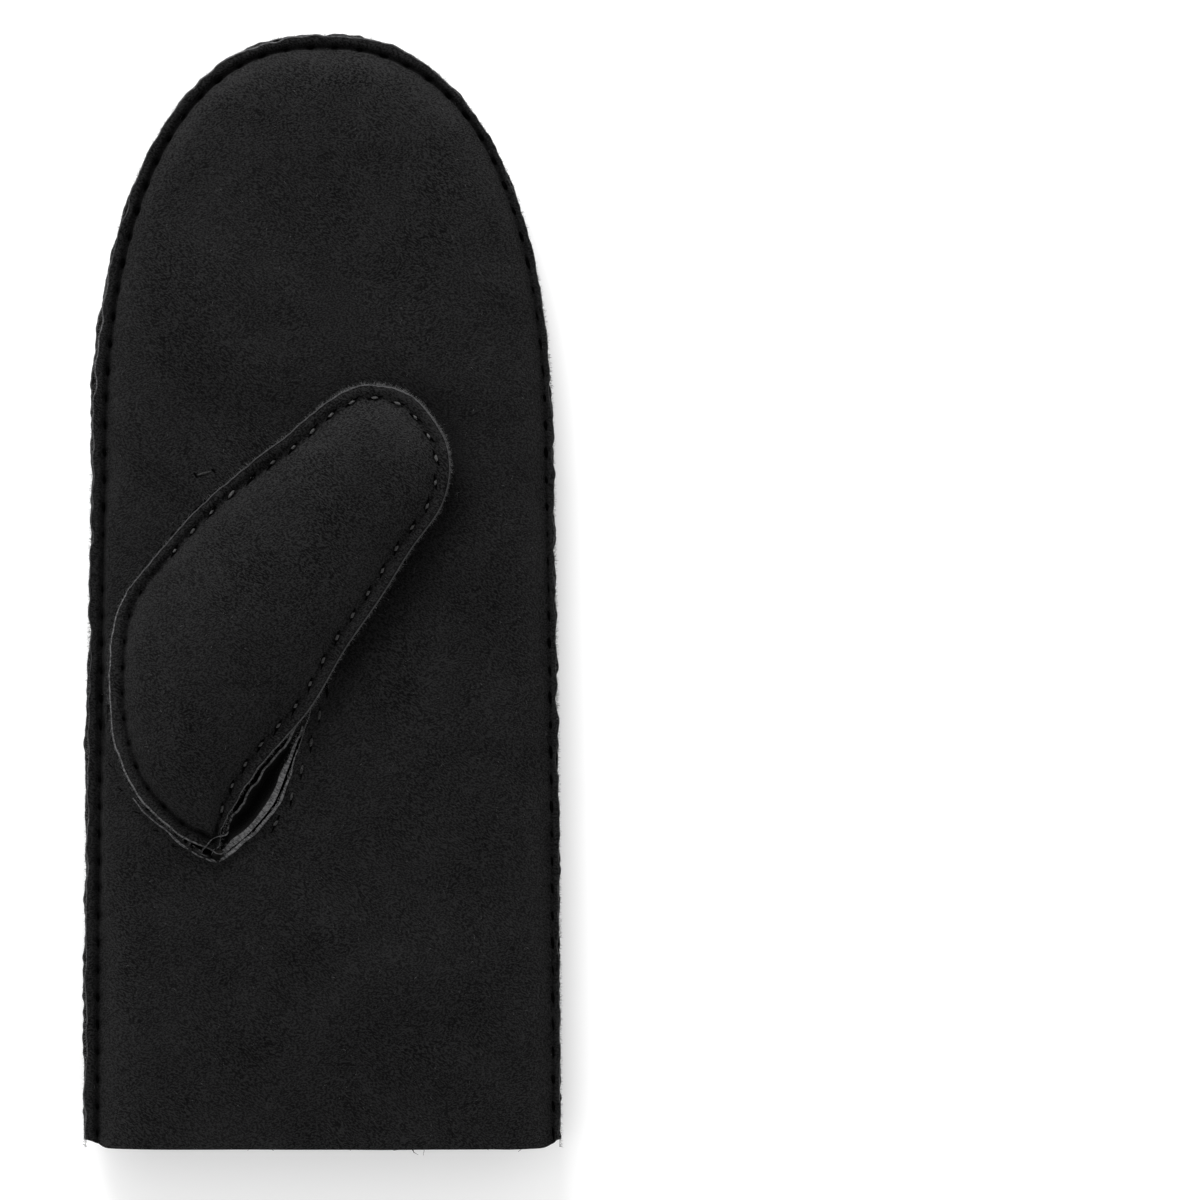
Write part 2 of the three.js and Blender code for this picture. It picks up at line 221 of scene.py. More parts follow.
@dataclass(frozen=True)
class SeamPitch:
    """Stitches along a seam, whole ones only."""

    length: float
    wanted: float = 0.0069

    @property
    def count(self) -> int:
        """Number of stitches."""
        return round(self.length / self.wanted)

    @property
    def pitch(self) -> float:
        """Distance between two stitches."""
        return self.length / self.count

    def places(self) -> np.ndarray:
        """Return how far along the seam the stitches stand."""
        return (np.arange(self.count) + 0.5) * self.pitch

    def pull(self, run: np.ndarray) -> np.ndarray:
        """Return 1 at each stitch and 0 halfway between two.

        Args:
            run: Distances along the seam.

        Returns:
            How strongly the thread pulls there.
        """
        return (0.5 - 0.5 * np.cos(2.0 * math.pi * run / self.pitch)) ** 3


@dataclass(frozen=True)
class HandForm:
    """Outline and heights of the hand part, the same that the solid panels have."""

    length: float
    cuff_half_width: float
    seam_height: float
    cuff_flare: float = 0.0018
    fingertip_length: float = 0.110
    fingertip_fullness: float = 2.35
    fan_share: float = 0.74
    seam_width: float = 0.003
    seam_gap: float = 0.0003
    seam_wall: float = 0.0021
    groove_depth: float = 0.0007
    wall: float = 0.0024
    palm_rise: float = 0.0146
    palm_fullness: float = 2.6
    back_fullness: float = 2.6
    back_roll_share: float = 0.55
    outline_steps: int = 1600

    # Rows of the palm's crown: share of the way to the fingertips, share of the rise.
    CROWN = [(0.0, 0.86), (0.25, 0.97), (0.5, 1.0), (0.75, 0.96), (1.0, 0.76)]

    @property
    def half_width(self) -> float:
        """Half the width where the fingertips' curve starts."""
        return self.cuff_half_width - self.cuff_flare

    @property
    def fan_start(self) -> float:
        """Where the middle line leaves the outline's pace."""
        return self.length / 2 - self.fan_share * self.fingertip_length

    @property
    def fan_reach(self) -> float:
        """Length of the fan along the outline."""
        return self.length / 2 - self.fan_start

    @property
    def fan_depth(self) -> float:
        """Length of the fan along the middle line."""
        return 2 / math.pi * self.fan_reach

    def edge_half_width(self, y: np.ndarray) -> np.ndarray:
        """Return half the width at places along the hand."""
        from_tip = self.length / 2 - y
        share = (from_tip - self.fingertip_length) / (self.length - self.fingertip_length)
        straight = self.half_width + self.cuff_flare * (1 - (1 - np.maximum(share, 0)) ** 2)
        inner = np.clip(1 - from_tip / self.fingertip_length, 0.0, 1.0) ** self.fingertip_fullness
        rounded = self.half_width * np.maximum(1 - inner, 0.0) ** (1 / self.fingertip_fullness)
        return np.where(from_tip >= self.fingertip_length, straight, rounded)

    def middle_y(self, y: np.ndarray) -> np.ndarray:
        """Return where on the middle line the cross section from the outline at y ends."""
        turn = np.clip((y - self.fan_start) / self.fan_reach, 0.0, 1.0) * math.pi / 2
        return np.where(y <= self.fan_start, y, self.fan_start + self.fan_depth * np.sin(turn))

    def side_line(self) -> Line:
        """Return the right half of the outline, from the cuff to the tip."""
        straight_end = self.length / 2 - self.fingertip_length
        straight = np.linspace(-self.length / 2, straight_end, self.outline_steps, endpoint=False)
        turn = np.linspace(math.pi / 2, 0.0, self.outline_steps)
        inner = np.cos(turn) ** (2 / self.fingertip_fullness)
        y = np.concatenate([straight, straight_end + self.fingertip_length * inner])
        y[-1] = self.length / 2
        x = self.edge_half_width(y)
        x[-1] = 0.0
        return Line(np.stack([x, y], axis=-1))

    @property
    def palm_foot(self) -> float:
        """Height of the palm at its groove."""
        return self.seam_height + self.seam_gap / 2 + self.seam_wall - self.groove_depth

    @property
    def back_foot(self) -> float:
        """Height of the back at its groove."""
        return self.seam_height - self.seam_gap / 2 - self.seam_wall + self.groove_depth

    def palm_crown(self, y: np.ndarray) -> np.ndarray:
        """Return the height of the palm's crown over its groove."""
        along = (y + self.length / 2) / (self.length / 2 + self.fan_start + self.fan_depth)
        return self.palm_rise * table_value(self.CROWN, along)

    def palm_top(self, x: np.ndarray, y: np.ndarray) -> np.ndarray:
        """Return the height of the palm's outside."""
        width = self.edge_half_width(y)
        share = (width - np.abs(x) - self.seam_width) / (width - self.seam_width)
        return self.palm_foot + self.palm_crown(y) * crown(share, self.palm_fullness)


@dataclass(frozen=True)
class ThumbForm:
    """Outline, hole and heights of the thumb, the same that the solid panels have."""

    hand: HandForm
    lowest_x: float
    lowest_y: float
    slant: float = math.radians(56)
    length: float = 0.1247
    width: float = 0.054
    rise: float = 0.017
    fullness: float = 2.3
    wall: float = 0.002
    seam_wall: float = 0.0017
    rest_gap: float = 0.0005
    belly: float = 0.0035
    back_roll: float = 0.016
    left_rise_share: float = 0.16
    right_rise_share: float = 0.48

    # Rows of each edge: share of the thumb's length along it, share of its width across it.
    LEFT = [(0, 0), (0.002, -0.22), (0.02, -0.47), (0.085, -0.7), (0.18, -0.88), (0.31, -1.03),
            (0.45, -1.02), (0.62, -0.95), (0.8, -0.815), (0.891, -0.755), (0.958, -0.663),
            (0.989, -0.53), (0.994, -0.43)]
    RIGHT = [(0, 0), (0.1, -0.065), (0.2, -0.072), (0.36, -0.026), (0.5, -0.044), (0.628, -0.041),
             (0.74, -0.05), (0.837, -0.044), (0.889, -0.076), (0.929, -0.131), (0.96, -0.206),
             (0.985, -0.335), (0.994, -0.43)]
    HOLE = [(0.617, -0.952), (0.625, -0.7), (0.56, -0.35), (0.45, -0.115), (0.34, -0.018),
            (0.235, 0.05), (0.16, 0.084), (0.093, 0.068), (0, 0)]
    SPINE = [(0.2, -0.48), (0.5, -0.51), (0.83, -0.42)]
    # Rows of the middle line's height: share of the thumb's length, share of its rise.
    SPINE_RISE = [(0.2, 0.78), (0.5, 1.0), (0.83, 0.95)]

    def places(self, rows: list[tuple[float, float]]) -> np.ndarray:
        """Return rows of a table as flat places in the hand's frame."""
        offsets = self.offsets(rows)
        return offsets + np.array([self.lowest_x - self.offsets(self.LEFT)[:, 0].min(), self.lowest_y])

    def offsets(self, rows: list[tuple[float, float]]) -> np.ndarray:
        """Return rows of a table as offsets from the thumb's base."""
        table = np.array(rows, dtype=float)
        along = table[:, 0] * self.length
        across = -table[:, 1] * self.width
        cos, sin = math.cos(self.slant), math.sin(self.slant)
        return np.stack([along * cos - across * sin, along * sin + across * cos], axis=-1)

    def line(
        self, rows: list[tuple[float, float]], after: list[tuple[float, float]] | None = None
    ) -> Line:
        """Return the smooth line through a table's rows.

        Args:
            rows: The table.
            after: Table whose line this one runs on into, or none where it ends.

        Returns:
            The line.
        """
        return centripetal_line(self.places(rows), after=None if after is None else self.places(after)[-2])

    @property
    def free_lift(self) -> float:
        """Height of the free seam's underside over the palm."""
        return self.rest_gap + self.seam_wall + self.hand.seam_gap + self.belly

    def sewn_share(self, left: Line) -> float:
        """Return the share of the left edge up to which it is sewn to the palm."""
        shares = np.linspace(0.0, 1.0, 1001)
        gaps = np.linalg.norm(left.at(shares) - self.places(self.HOLE)[0], axis=-1)
        return float(shares[np.argmin(gaps)])

    def left_lift(self, share: np.ndarray, sewn: float) -> np.ndarray:
        """Return how high the left seam's underside stands over the palm."""
        step = smooth((share - sewn) / self.left_rise_share)
        return self.hand.seam_gap + (self.free_lift - self.hand.seam_gap) * step

    def right_lift(self, share: np.ndarray) -> np.ndarray:
        """Return how high the right seam's underside stands over the palm."""
        step = smooth(share / self.right_rise_share)
        return self.hand.seam_gap + (self.free_lift - self.hand.seam_gap) * step


@dataclass
class Sheet:
    """Outer points of a panel in rows and columns, with its wool side and its folded rows."""

    outer: np.ndarray
    inner: np.ndarray | None
    folded_first: bool = False
    folded_last: bool = False
    faces_up: bool = True
    numbers: np.ndarray = field(init=False)

    def __post_init__(self) -> None:
        """Number the points, with both halves of a folded row sharing theirs."""
        rows, columns = self.outer.shape[:2]
        numbers = np.arange(rows * columns).reshape(rows, columns)
        half = columns // 2
        for row, folded in ((0, self.folded_first), (rows - 1, self.folded_last)):
            if folded:
                numbers[row, half + 1:] = numbers[row, :half][::-1]
        self.numbers = numbers

    def quads(self) -> np.ndarray:
        """Return the faces of the outside as numbers of four points."""
        n = self.numbers
        corners = [n[:-1, :-1], n[:-1, 1:], n[1:, 1:], n[1:, :-1]]
        if not self.faces_up:
            corners.reverse()
        return np.stack(corners, axis=-1).reshape(-1, 4)

    def normals(self) -> np.ndarray:
        """Return the outward normals at the outer points."""
        flat = self.outer.reshape(-1, 3)
        mesh = bpy.data.meshes.new("normals")
        mesh.from_pydata(flat.tolist(), [], self.quads().tolist())
        mesh.update()
        values = np.empty(len(flat) * 3, dtype=np.float32)
        mesh.vertex_normals.foreach_get("vector", values)
        bpy.data.meshes.remove(mesh)
        return values.reshape(-1, 3)[self.numbers].astype(float)

    def normals_off_poles(self) -> np.ndarray:
        """Return the normals, upright near the folds' ends, where the faces are needles."""
        normals = self.normals()
        up = np.array([0.0, 0.0, 1.0 if self.faces_up else -1.0])
        half = self.outer.shape[1] // 2
        for row, folded in ((0, self.folded_first), (-1, self.folded_last)):
            if folded:
                away = np.linalg.norm(self.outer - self.outer[row, half], axis=-1)
                upright = smooth(2.0 - away / 0.004)[..., None]
                normals = normals * (1 - upright) + up * upright
        return normals

    def push(self, height: np.ndarray) -> None:
        """Move the outer points along their normals.

        Args:
            height: How far each point moves, positive outwards.
        """
        self.outer = self.outer + self.normals() * height[..., None]

    def hollow(self, wall: float | np.ndarray, seam_inner: np.ndarray) -> None:
        """Set the wool side.

        Args:
            wall: Thickness of the wall.
            seam_inner: Heights of the seam's inner face, and nan where the wall rules.
        """
        inner = self.outer - self.normals_off_poles() * wall
        flat = ~np.isnan(seam_inner)
        inner[flat] = self.outer[flat]
        inner[..., 2] = np.where(flat, seam_inner, inner[..., 2])
        self.inner = inner


@dataclass(frozen=True)
class PressurePass:
    """Short cloth simulation that swells a coarse copy of a panel from inside."""

    pressure: float = 4.0
    frames: int = 20
    cap: float = 0.0014
    row_step: int = 9
    column_step: int = 3
    spare_cloth: float = -0.02
    pole_reach: float = 0.014

    def run(self, sheet: Sheet, first: int, last: int) -> np.ndarray:
        """Return how far the simulated cloth moves each outer point.

        Args:
            sheet: The panel.
            first: Column next to the left groove.
            last: Column next to the right groove.

        Returns:
            A move for each outer point, zero on the seams.
        """
        moves = np.zeros_like(sheet.outer)
        rows, columns = sheet.outer.shape[:2]
        picked_rows = np.unique(np.append(np.arange(0, rows, self.row_step), rows - 1))
        picked = np.unique(np.append(np.arange(first, last, self.column_step), last))
        coarse = sheet.outer[np.ix_(picked_rows, picked)]
        after = self.simulate(coarse, sheet.faces_up)
        step = after - coarse
        size = np.linalg.norm(step, axis=-1, keepdims=True)
        step = np.where(np.isfinite(size), step, 0.0)
        size = np.where(np.isfinite(size), size, 0.0)
        step = step * self.cap / (self.cap + size)
        middle = np.arange(first, last + 1)
        for k in range(3):
            rough = np.array([np.interp(middle, picked, row) for row in step[..., k]])
            full = np.array([np.interp(np.arange(rows), picked_rows, line) for line in rough.T]).T
            moves[:, first:last + 1, k] = self.calm(full)
        for row in (0, rows - 1):
            moves = self.calm_pole(sheet.outer, moves, sheet.outer[row, columns // 2])
        return moves

    def calm_pole(self, points: np.ndarray, moves: np.ndarray, pole: np.ndarray) -> np.ndarray:
        """Return moves that agree round a pole, where many rows come together."""
        away = np.linalg.norm(points - pole, axis=-1)
        near = away < self.pole_reach
        around = away < 1.6 * self.pole_reach
        samples, values = points[around][::7], moves[around][::7]
        gaps = ((points[near][:, None] - samples[None]) ** 2).sum(axis=-1)
        weights = np.exp(-gaps / (0.3 * self.pole_reach) ** 2)
        even = weights @ values / weights.sum(axis=1, keepdims=True)
        blend = smooth(2.0 - 2.0 * away[near] / self.pole_reach)[:, None]
        calm = moves.copy()
        calm[near] += (even - moves[near]) * blend
        return calm

    def calm(self, values: np.ndarray) -> np.ndarray:
        """Return values smoothed over the fine points, with the ends held."""
        rows = values.copy()
        for _ in range(self.row_step * 4):
            rows[1:-1] = (rows[:-2] + 2 * rows[1:-1] + rows[2:]) / 4
        for _ in range(self.column_step * 3):
            rows[:, 1:-1] = (rows[:, :-2] + 2 * rows[:, 1:-1] + rows[:, 2:]) / 4
        return rows

    def simulate(self, coarse: np.ndarray, faces_up: bool) -> np.ndarray:
        """Return the points of a cloth that is held at its border and swells.

        Args:
            coarse: Points in rows and columns.
            faces_up: Whether the outside faces up.

        Returns:
            The points after the last frame.
        """
        flat = Sheet(coarse, None, faces_up=faces_up)
        rows, columns = coarse.shape[:2]
        mesh = bpy.data.meshes.new("swelling_cloth")
        mesh.from_pydata(coarse.reshape(-1, 3).tolist(), [], flat.quads().tolist())
        cloth = bpy.data.objects.new("swelling_cloth", mesh)
        bpy.context.collection.objects.link(cloth)
        border = [int(n) for n in flat.numbers[:, [0, -1]].flatten()]
        border += [int(n) for n in flat.numbers[[0, -1]].flatten()]
        pins = cloth.vertex_groups.new(name="border")
        pins.add(border, 1.0, "REPLACE")
        modifier = cloth.modifiers.new("Cloth", "CLOTH")
        settings = modifier.settings
        settings.vertex_group_mass = "border"
        settings.use_pressure = True
        settings.uniform_pressure_force = self.pressure
        settings.shrink_min = self.spare_cloth
        settings.effector_weights.gravity = 0.0
        settings.quality = 6
        scene = bpy.context.scene
        for step in range(1, self.frames + 1):
            scene.frame_set(step)
        depsgraph = bpy.context.evaluated_depsgraph_get()
        result = cloth.evaluated_get(depsgraph).to_mesh()
        points = np.empty(rows * columns * 3, dtype=np.float32)
        result.vertices.foreach_get("co", points)
        cloth.evaluated_get(depsgraph).to_mesh_clear()
        bpy.data.objects.remove(cloth)
        bpy.data.meshes.remove(mesh)
        scene.frame_set(1)
        return points.reshape(rows, columns, 3).astype(float)


@dataclass(frozen=True)
class NapGroups:
    """Shader node groups that several finishes share."""

    nap: bpy.types.NodeTree
    mottle: bpy.types.NodeTree

    @staticmethod
    def new_group(name: str, inputs: list[str], outputs: list[str]) -> bpy.types.NodeTree:
        """Return an empty group with its sockets.

        Args:
            name: Name of the group.
            inputs: Names of its number inputs; each group also takes Coordinates.
            outputs: Names of its number outputs.

        Returns:
            The group, with its input and output nodes.
        """
        group = bpy.data.node_groups.new(name, "ShaderNodeTree")
        group.interface.new_socket("Coordinates", in_out="INPUT", socket_type="NodeSocketVector")
        for socket in inputs:
            group.interface.new_socket(socket, in_out="INPUT", socket_type="NodeSocketFloat")
        for socket in outputs:
            group.interface.new_socket(socket, in_out="OUTPUT", socket_type="NodeSocketFloat")
        group.nodes.new("NodeGroupInput").name = "In"
        group.nodes.new("NodeGroupOutput").name = "Out"
        return group

    @staticmethod
    def noise(tree: bpy.types.NodeTree, detail: float, roughness: float) -> bpy.types.Node:
        """Return a new noise node."""
        node = tree.nodes.new("ShaderNodeTexNoise")
        node.inputs["Detail"].default_value = detail
        node.inputs["Roughness"].default_value = roughness
        return node

    @classmethod
    def build(cls) -> "NapGroups":
        """Return both groups, built once."""
        return cls(nap=cls.build_nap(), mottle=cls.build_mottle())

    @classmethod
    def build_nap(cls) -> bpy.types.NodeTree:
        """Return the short brushed fibres of suede, lying in swirls.

        Returns:
            A group that puts out Tone and Height from Coordinates, Fibres and Swirls.
        """
        group = cls.new_group("suede_nap", ["Fibres", "Swirls"], ["Tone", "Height"])
        start, end = group.nodes["In"], group.nodes["Out"]
        swirl = cls.noise(group, 1.0, 0.5)
        group.links.new(start.outputs["Coordinates"], swirl.inputs["Vector"])
        group.links.new(start.outputs["Swirls"], swirl.inputs["Scale"])
        lays = []
        for turn, stretch in ((1.0, 2.5), (1.9, 2.1)):
            mapping = group.nodes.new("ShaderNodeMapping")
            mapping.vector_type = "TEXTURE"
            mapping.inputs["Rotation"].default_value = (0.1, 0.08, turn)
            mapping.inputs["Scale"].default_value = (1.0, stretch, 4.0)
            fibres = cls.noise(group, 2.0, 0.6)
            group.links.new(start.outputs["Coordinates"], mapping.inputs["Vector"])
            group.links.new(mapping.outputs["Vector"], fibres.inputs["Vector"])
            group.links.new(start.outputs["Fibres"], fibres.inputs["Scale"])
            lays.append(fibres)
        choose = group.nodes.new("ShaderNodeMapRange")
        choose.inputs["From Min"].default_value = 0.42
        choose.inputs["From Max"].default_value = 0.58
        blend = group.nodes.new("ShaderNodeMix")
        group.links.new(swirl.outputs["Fac"], choose.inputs["Value"])
        group.links.new(choose.outputs["Result"], blend.inputs["Factor"])
        group.links.new(lays[0].outputs["Fac"], blend.inputs["A"])
        group.links.new(lays[1].outputs["Fac"], blend.inputs["B"])
        spread = group.nodes.new("ShaderNodeMapRange")
        spread.inputs["From Min"].default_value = 0.45
        spread.inputs["From Max"].default_value = 0.55
        group.links.new(blend.outputs["Result"], spread.inputs["Value"])
        group.links.new(spread.outputs["Result"], end.inputs["Tone"])
        group.links.new(blend.outputs["Result"], end.inputs["Height"])
        return group

    @classmethod
    def build_mottle(cls) -> bpy.types.NodeTree:
        """Return soft darker and lighter patches.

        Returns:
            A group that puts out Tone from Coordinates and Patches.
        """
        group = cls.new_group("soft_mottle", ["Patches"], ["Tone"])
        start, end = group.nodes["In"], group.nodes["Out"]
        large = cls.noise(group, 3.0, 0.55)
        spread = group.nodes.new("ShaderNodeMapRange")
        spread.inputs["From Min"].default_value = 0.32
        spread.inputs["From Max"].default_value = 0.68
        group.links.new(start.outputs["Coordinates"], large.inputs["Vector"])
        group.links.new(start.outputs["Patches"], large.inputs["Scale"])
        group.links.new(large.outputs["Fac"], spread.inputs["Value"])
        group.links.new(spread.outputs["Result"], end.inputs["Tone"])
        return group


@dataclass(frozen=True)
class Finish:
    """Napped or fibrous finish in dark greys."""

    name: str
    dark: tuple[float, float, float]
    light: tuple[float, float, float]
    fibres: float = 3600.0
    swirls: float = 55.0
    patches: float = 60.0
    mottle_share: float = 0.2
    bump: float = 1.0
    bump_height: float = 0.0009
    roughness: float = 0.95
    sheen: float = 0.02
    sheen_roughness: float = 0.5
    specular: float = 0.0

    def build(self, groups: NapGroups) -> bpy.types.Material:
        """Return the finish as a material.

        Args:
            groups: The shared shader node groups.

        Returns:
            The material.
        """
        material = bpy.data.materials.new(self.name)
        material.use_nodes = True
        tree = material.node_tree
        shader = tree.nodes["Principled BSDF"]
        shader.inputs["Roughness"].default_value = self.roughness
        shader.inputs["Sheen Weight"].default_value = self.sheen
        shader.inputs["Sheen Roughness"].default_value = self.sheen_roughness
        shader.inputs["Specular IOR Level"].default_value = self.specular
        coordinates = tree.nodes.new("ShaderNodeTexCoord")
        nap = self.place(tree, groups.nap, coordinates)
        nap.inputs["Fibres"].default_value = self.fibres
        nap.inputs["Swirls"].default_value = self.swirls
        mottle = self.place(tree, groups.mottle, coordinates)
        mottle.inputs["Patches"].default_value = self.patches
        tone = tree.nodes.new("ShaderNodeMix")
        tone.inputs["Factor"].default_value = self.mottle_share
        tree.links.new(nap.outputs["Tone"], tone.inputs["A"])
        tree.links.new(mottle.outputs["Tone"], tone.inputs["B"])
        colour = tree.nodes.new("ShaderNodeMix")
        colour.data_type = "RGBA"
        colour.inputs["A"].default_value = (*self.dark, 1.0)
        colour.inputs["B"].default_value = (*self.light, 1.0)
        # The tone is taken down by painted shade and lifted by painted light.
        tree.links.new(self.apply_painted_light(tree, tone), colour.inputs["Factor"])
        tree.links.new(colour.outputs["Result"], shader.inputs["Base Color"])
        bump = tree.nodes.new("ShaderNodeBump")
        bump.inputs["Strength"].default_value = self.bump
        bump.inputs["Distance"].default_value = self.bump_height
        tree.links.new(nap.outputs["Height"], bump.inputs["Height"])
        tree.links.new(bump.outputs["Normal"], shader.inputs["Normal"])
        return material

    @staticmethod
    def apply_painted_light(tree: bpy.types.NodeTree, tone: bpy.types.Node) -> bpy.types.NodeSocket:
        """Return the tone scaled by the piece's painted light: painted shade takes it down, and values below 0 are
        painted light that lifts it.
        """
        painted_light = tree.nodes.new("ShaderNodeAttribute")
        painted_light.attribute_name = PAINTED_LIGHT
        open_share = tree.nodes.new("ShaderNodeMath")
        open_share.operation = "SUBTRACT"
        open_share.inputs[0].default_value = 1.0
        kept = tree.nodes.new("ShaderNodeMath")
        kept.operation = "MULTIPLY"
        tree.links.new(painted_light.outputs["Fac"], open_share.inputs[1])
        tree.links.new(tone.outputs["Result"], kept.inputs[0])
        tree.links.new(open_share.outputs["Value"], kept.inputs[1])
        return kept.outputs["Value"]

    @staticmethod
    def place(
        tree: bpy.types.NodeTree, group: bpy.types.NodeTree, coordinates: bpy.types.Node
    ) -> bpy.types.Node:
        """Return a node for a group, fed with object coordinates."""
        node = tree.nodes.new("ShaderNodeGroup")
        node.node_tree = group
        tree.links.new(coordinates.outputs["Object"], node.inputs["Coordinates"])
        return node


@dataclass
class Wardrobe:
    """All finishes of the mitten."""

    groups: NapGroups
    palm: bpy.types.Material = field(init=False)
    back: bpy.types.Material = field(init=False)
    thumb: bpy.types.Material = field(init=False)
    wool_side: bpy.types.Material = field(init=False)
    wool: bpy.types.Material = field(init=False)
    hand_edge: bpy.types.Material = field(init=False)
    thumb_edge: bpy.types.Material = field(init=False)
    thread: bpy.types.Material = field(init=False)
    darker_thread: bpy.types.Material = field(init=False)
    thread_and_painted_shade: bpy.types.Material = field(init=False)
    fuzz: bpy.types.Material = field(init=False)

    def __post_init__(self) -> None:
        """Build every finish once."""
        suede_dark = (0.0026, 0.0026, 0.0027)
        suede_light = (0.0185, 0.0185, 0.0188)
        self.palm = Finish("palm_suede", suede_dark, suede_light).build(self.groups)
        self.back = Finish("back_suede", suede_dark, suede_light).build(self.groups)
        thumb_light = tuple(channel * 1.08 for channel in suede_light)
        self.thumb = Finish("thumb_suede", suede_dark, thumb_light).build(self.groups)
        self.wool_side = Finish(
            "wool_side", (0.003, 0.003, 0.003), (0.012, 0.0115, 0.011), fibres=700.0, bump=0.8
        ).build(self.groups)
        self.wool = Finish(
            "black_wool", (0.004, 0.004, 0.004), (0.02, 0.0195, 0.019), fibres=2200.0, sheen=0.4
        ).build(self.groups)
        self.hand_edge = Finish(
            "hand_cut_edge", (0.018, 0.018, 0.0185), (0.09, 0.09, 0.092), fibres=2200.0, mottle_share=0.5
        ).build(self.groups)
        self.thumb_edge = Finish(
            "thumb_cut_edge", (0.035, 0.035, 0.036), (0.12, 0.12, 0.122), fibres=2200.0
        ).build(self.groups)
        self.thread = Finish(
            "waxed_thread", (0.02, 0.02, 0.02), (0.075, 0.075, 0.075), fibres=3200.0,
            roughness=0.5, sheen=0.1, specular=0.5,
        ).build(self.groups)
        # A darker copy of the thread, for the hole's stitches and its tack.
        self.darker_thread = Finish(
            "darker_thread", (0.008, 0.008, 0.008), (0.036, 0.036, 0.036), fibres=3200.0, roughness=0.7,
            sheen=0.05, specular=0.2,
        ).build(self.groups)
        # Thread made nearly black with painted shade, for the groove, the crease and the shaded holes at the
        # stitches' ends.
        self.thread_and_painted_shade = Finish(
            "thread_and_painted_shade", (0.0003, 0.0003, 0.0003), (0.002, 0.002, 0.002), fibres=3200.0,
            roughness=0.9, sheen=0.0,
        ).build(self.groups)
        self.fuzz = Finish(
            "edge_fuzz", (0.02, 0.02, 0.0205), (0.1, 0.1, 0.102), sheen=0.3
        ).build(self.groups)


def deselect_all() -> None:
    """Deselect every object."""
    for thing in bpy.context.selected_objects:
        thing.select_set(False)


def select_only(thing: bpy.types.Object) -> None:
    """Make one object the selected and active one."""
    deselect_all()
    thing.select_set(True)
    bpy.context.view_layer.objects.active = thing


def dress(
    piece: bpy.types.Object, materials: list[bpy.types.Material], nodes: tuple[str, ...] = ()
) -> bpy.types.Object:
    """Give a piece its materials and tell the frame what it is.

    Args:
        piece: The finished piece.
        materials: Its materials in the order of its material indices.
        nodes: Solids that it stands for.

    Returns:
        The same piece.
    """
    if not piece.data.materials:
        for material in materials:
            piece.data.materials.append(material)
    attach(piece, BODY)
    if nodes:
        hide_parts(*nodes)
    LOG.info("%s: %d faces", piece.name, len(piece.data.polygons))
    return piece


def new_piece(
    name: str, points: np.ndarray, faces: list, materials: list[bpy.types.Material],
    indices: np.ndarray | None = None,
) -> bpy.types.Object:
    """Return a new object from points and faces.

    Args:
        name: Name of the piece.
        points: Places with three numbers each.
        faces: Numbers of the points of each face.
        materials: Its materials.
        indices: Material index of each face, or none where all have the first.

    Returns:
        The linked object.
    """
    mesh = bpy.data.meshes.new(name)
    mesh.from_pydata(points.tolist(), [], faces)
    if indices is not None:
        mesh.polygons.foreach_set("material_index", np.asarray(indices, dtype=np.int32))
    for material in materials:
        mesh.materials.append(material)
    mesh.validate()
    mesh.update()
    piece = bpy.data.objects.new(name, mesh)
    bpy.context.collection.objects.link(piece)
    return piece


def smooth_shade(piece: bpy.types.Object, angle: float) -> None:
    """Shade a piece smooth, apart from edges sharper than an angle in degrees."""
    select_only(piece)
    bpy.ops.object.shade_smooth_by_angle(angle=math.radians(angle))


def wall_piece(
    name: str, sheet: Sheet, materials: list[bpy.types.Material], painted_light_map: np.ndarray,
    kept: np.ndarray | None = None,
) -> bpy.types.Object:
    """Return the closed wall between a sheet's outside and its wool side.

    Args:
        name: Name of the piece.
        sheet: The panel, with its wool side set.
        materials: Suede, wool side and cut edge, in the order of Part.
        painted_light_map: Painted shade of each outer point, 1 deep in a cleft, and painted light where below 0.
        kept: Whether each face of the outside stays, or none where all stay.

    Returns:
        The linked object.
    """
    count = sheet.outer.shape[0] * sheet.outer.shape[1]
    columns = sheet.outer.shape[1] - 1
    quads = sheet.quads()
    column_of = np.tile(np.arange(columns), sheet.outer.shape[0] - 1)
    is_edge = (column_of < 1) | (column_of >= columns - 1)
    kept = np.ones(len(quads), dtype=bool) if kept is None else kept
    faces, indices, edges = [], [], {}
    for quad, edge in zip(quads[kept].tolist(), is_edge[kept].tolist()):
        ring = [n for k, n in enumerate(quad) if n != quad[k - 1]]
        if len(set(ring)) < 3:
            continue
        faces.append(ring)
        indices.append(Part.CUT_EDGE.value if edge else Part.SUEDE.value)
        faces.append([n + count for n in reversed(ring)])
        indices.append(Part.CUT_EDGE.value if edge else Part.WOOL_SIDE.value)
        for k, to in enumerate(ring):
            edges[(ring[k - 1], to)] = True
    for start, end in edges:
        if (end, start) not in edges:
            faces.append([end, start, start + count, end + count])
            indices.append(Part.CUT_EDGE.value)
    points = np.vstack([sheet.outer.reshape(-1, 3), sheet.inner.reshape(-1, 3)])
    piece = new_piece(name, points, faces, materials, np.array(indices))
    layer = piece.data.attributes.new(PAINTED_LIGHT, "FLOAT", "POINT")
    layer.data.foreach_set("value", np.tile(painted_light_map.reshape(-1), 2).astype(np.float32))
    drop_loose_points(piece)
    smooth_shade(piece, 55.0)
    return piece


def drop_loose_points(piece: bpy.types.Object) -> None:
    """Delete points that no face uses."""
    shell = bmesh.new()
    shell.from_mesh(piece.data)
    loose = [vertex for vertex in shell.verts if not vertex.link_faces]
    bmesh.ops.delete(shell, geom=loose, context="VERTS")
    shell.to_mesh(piece.data)
    shell.free()


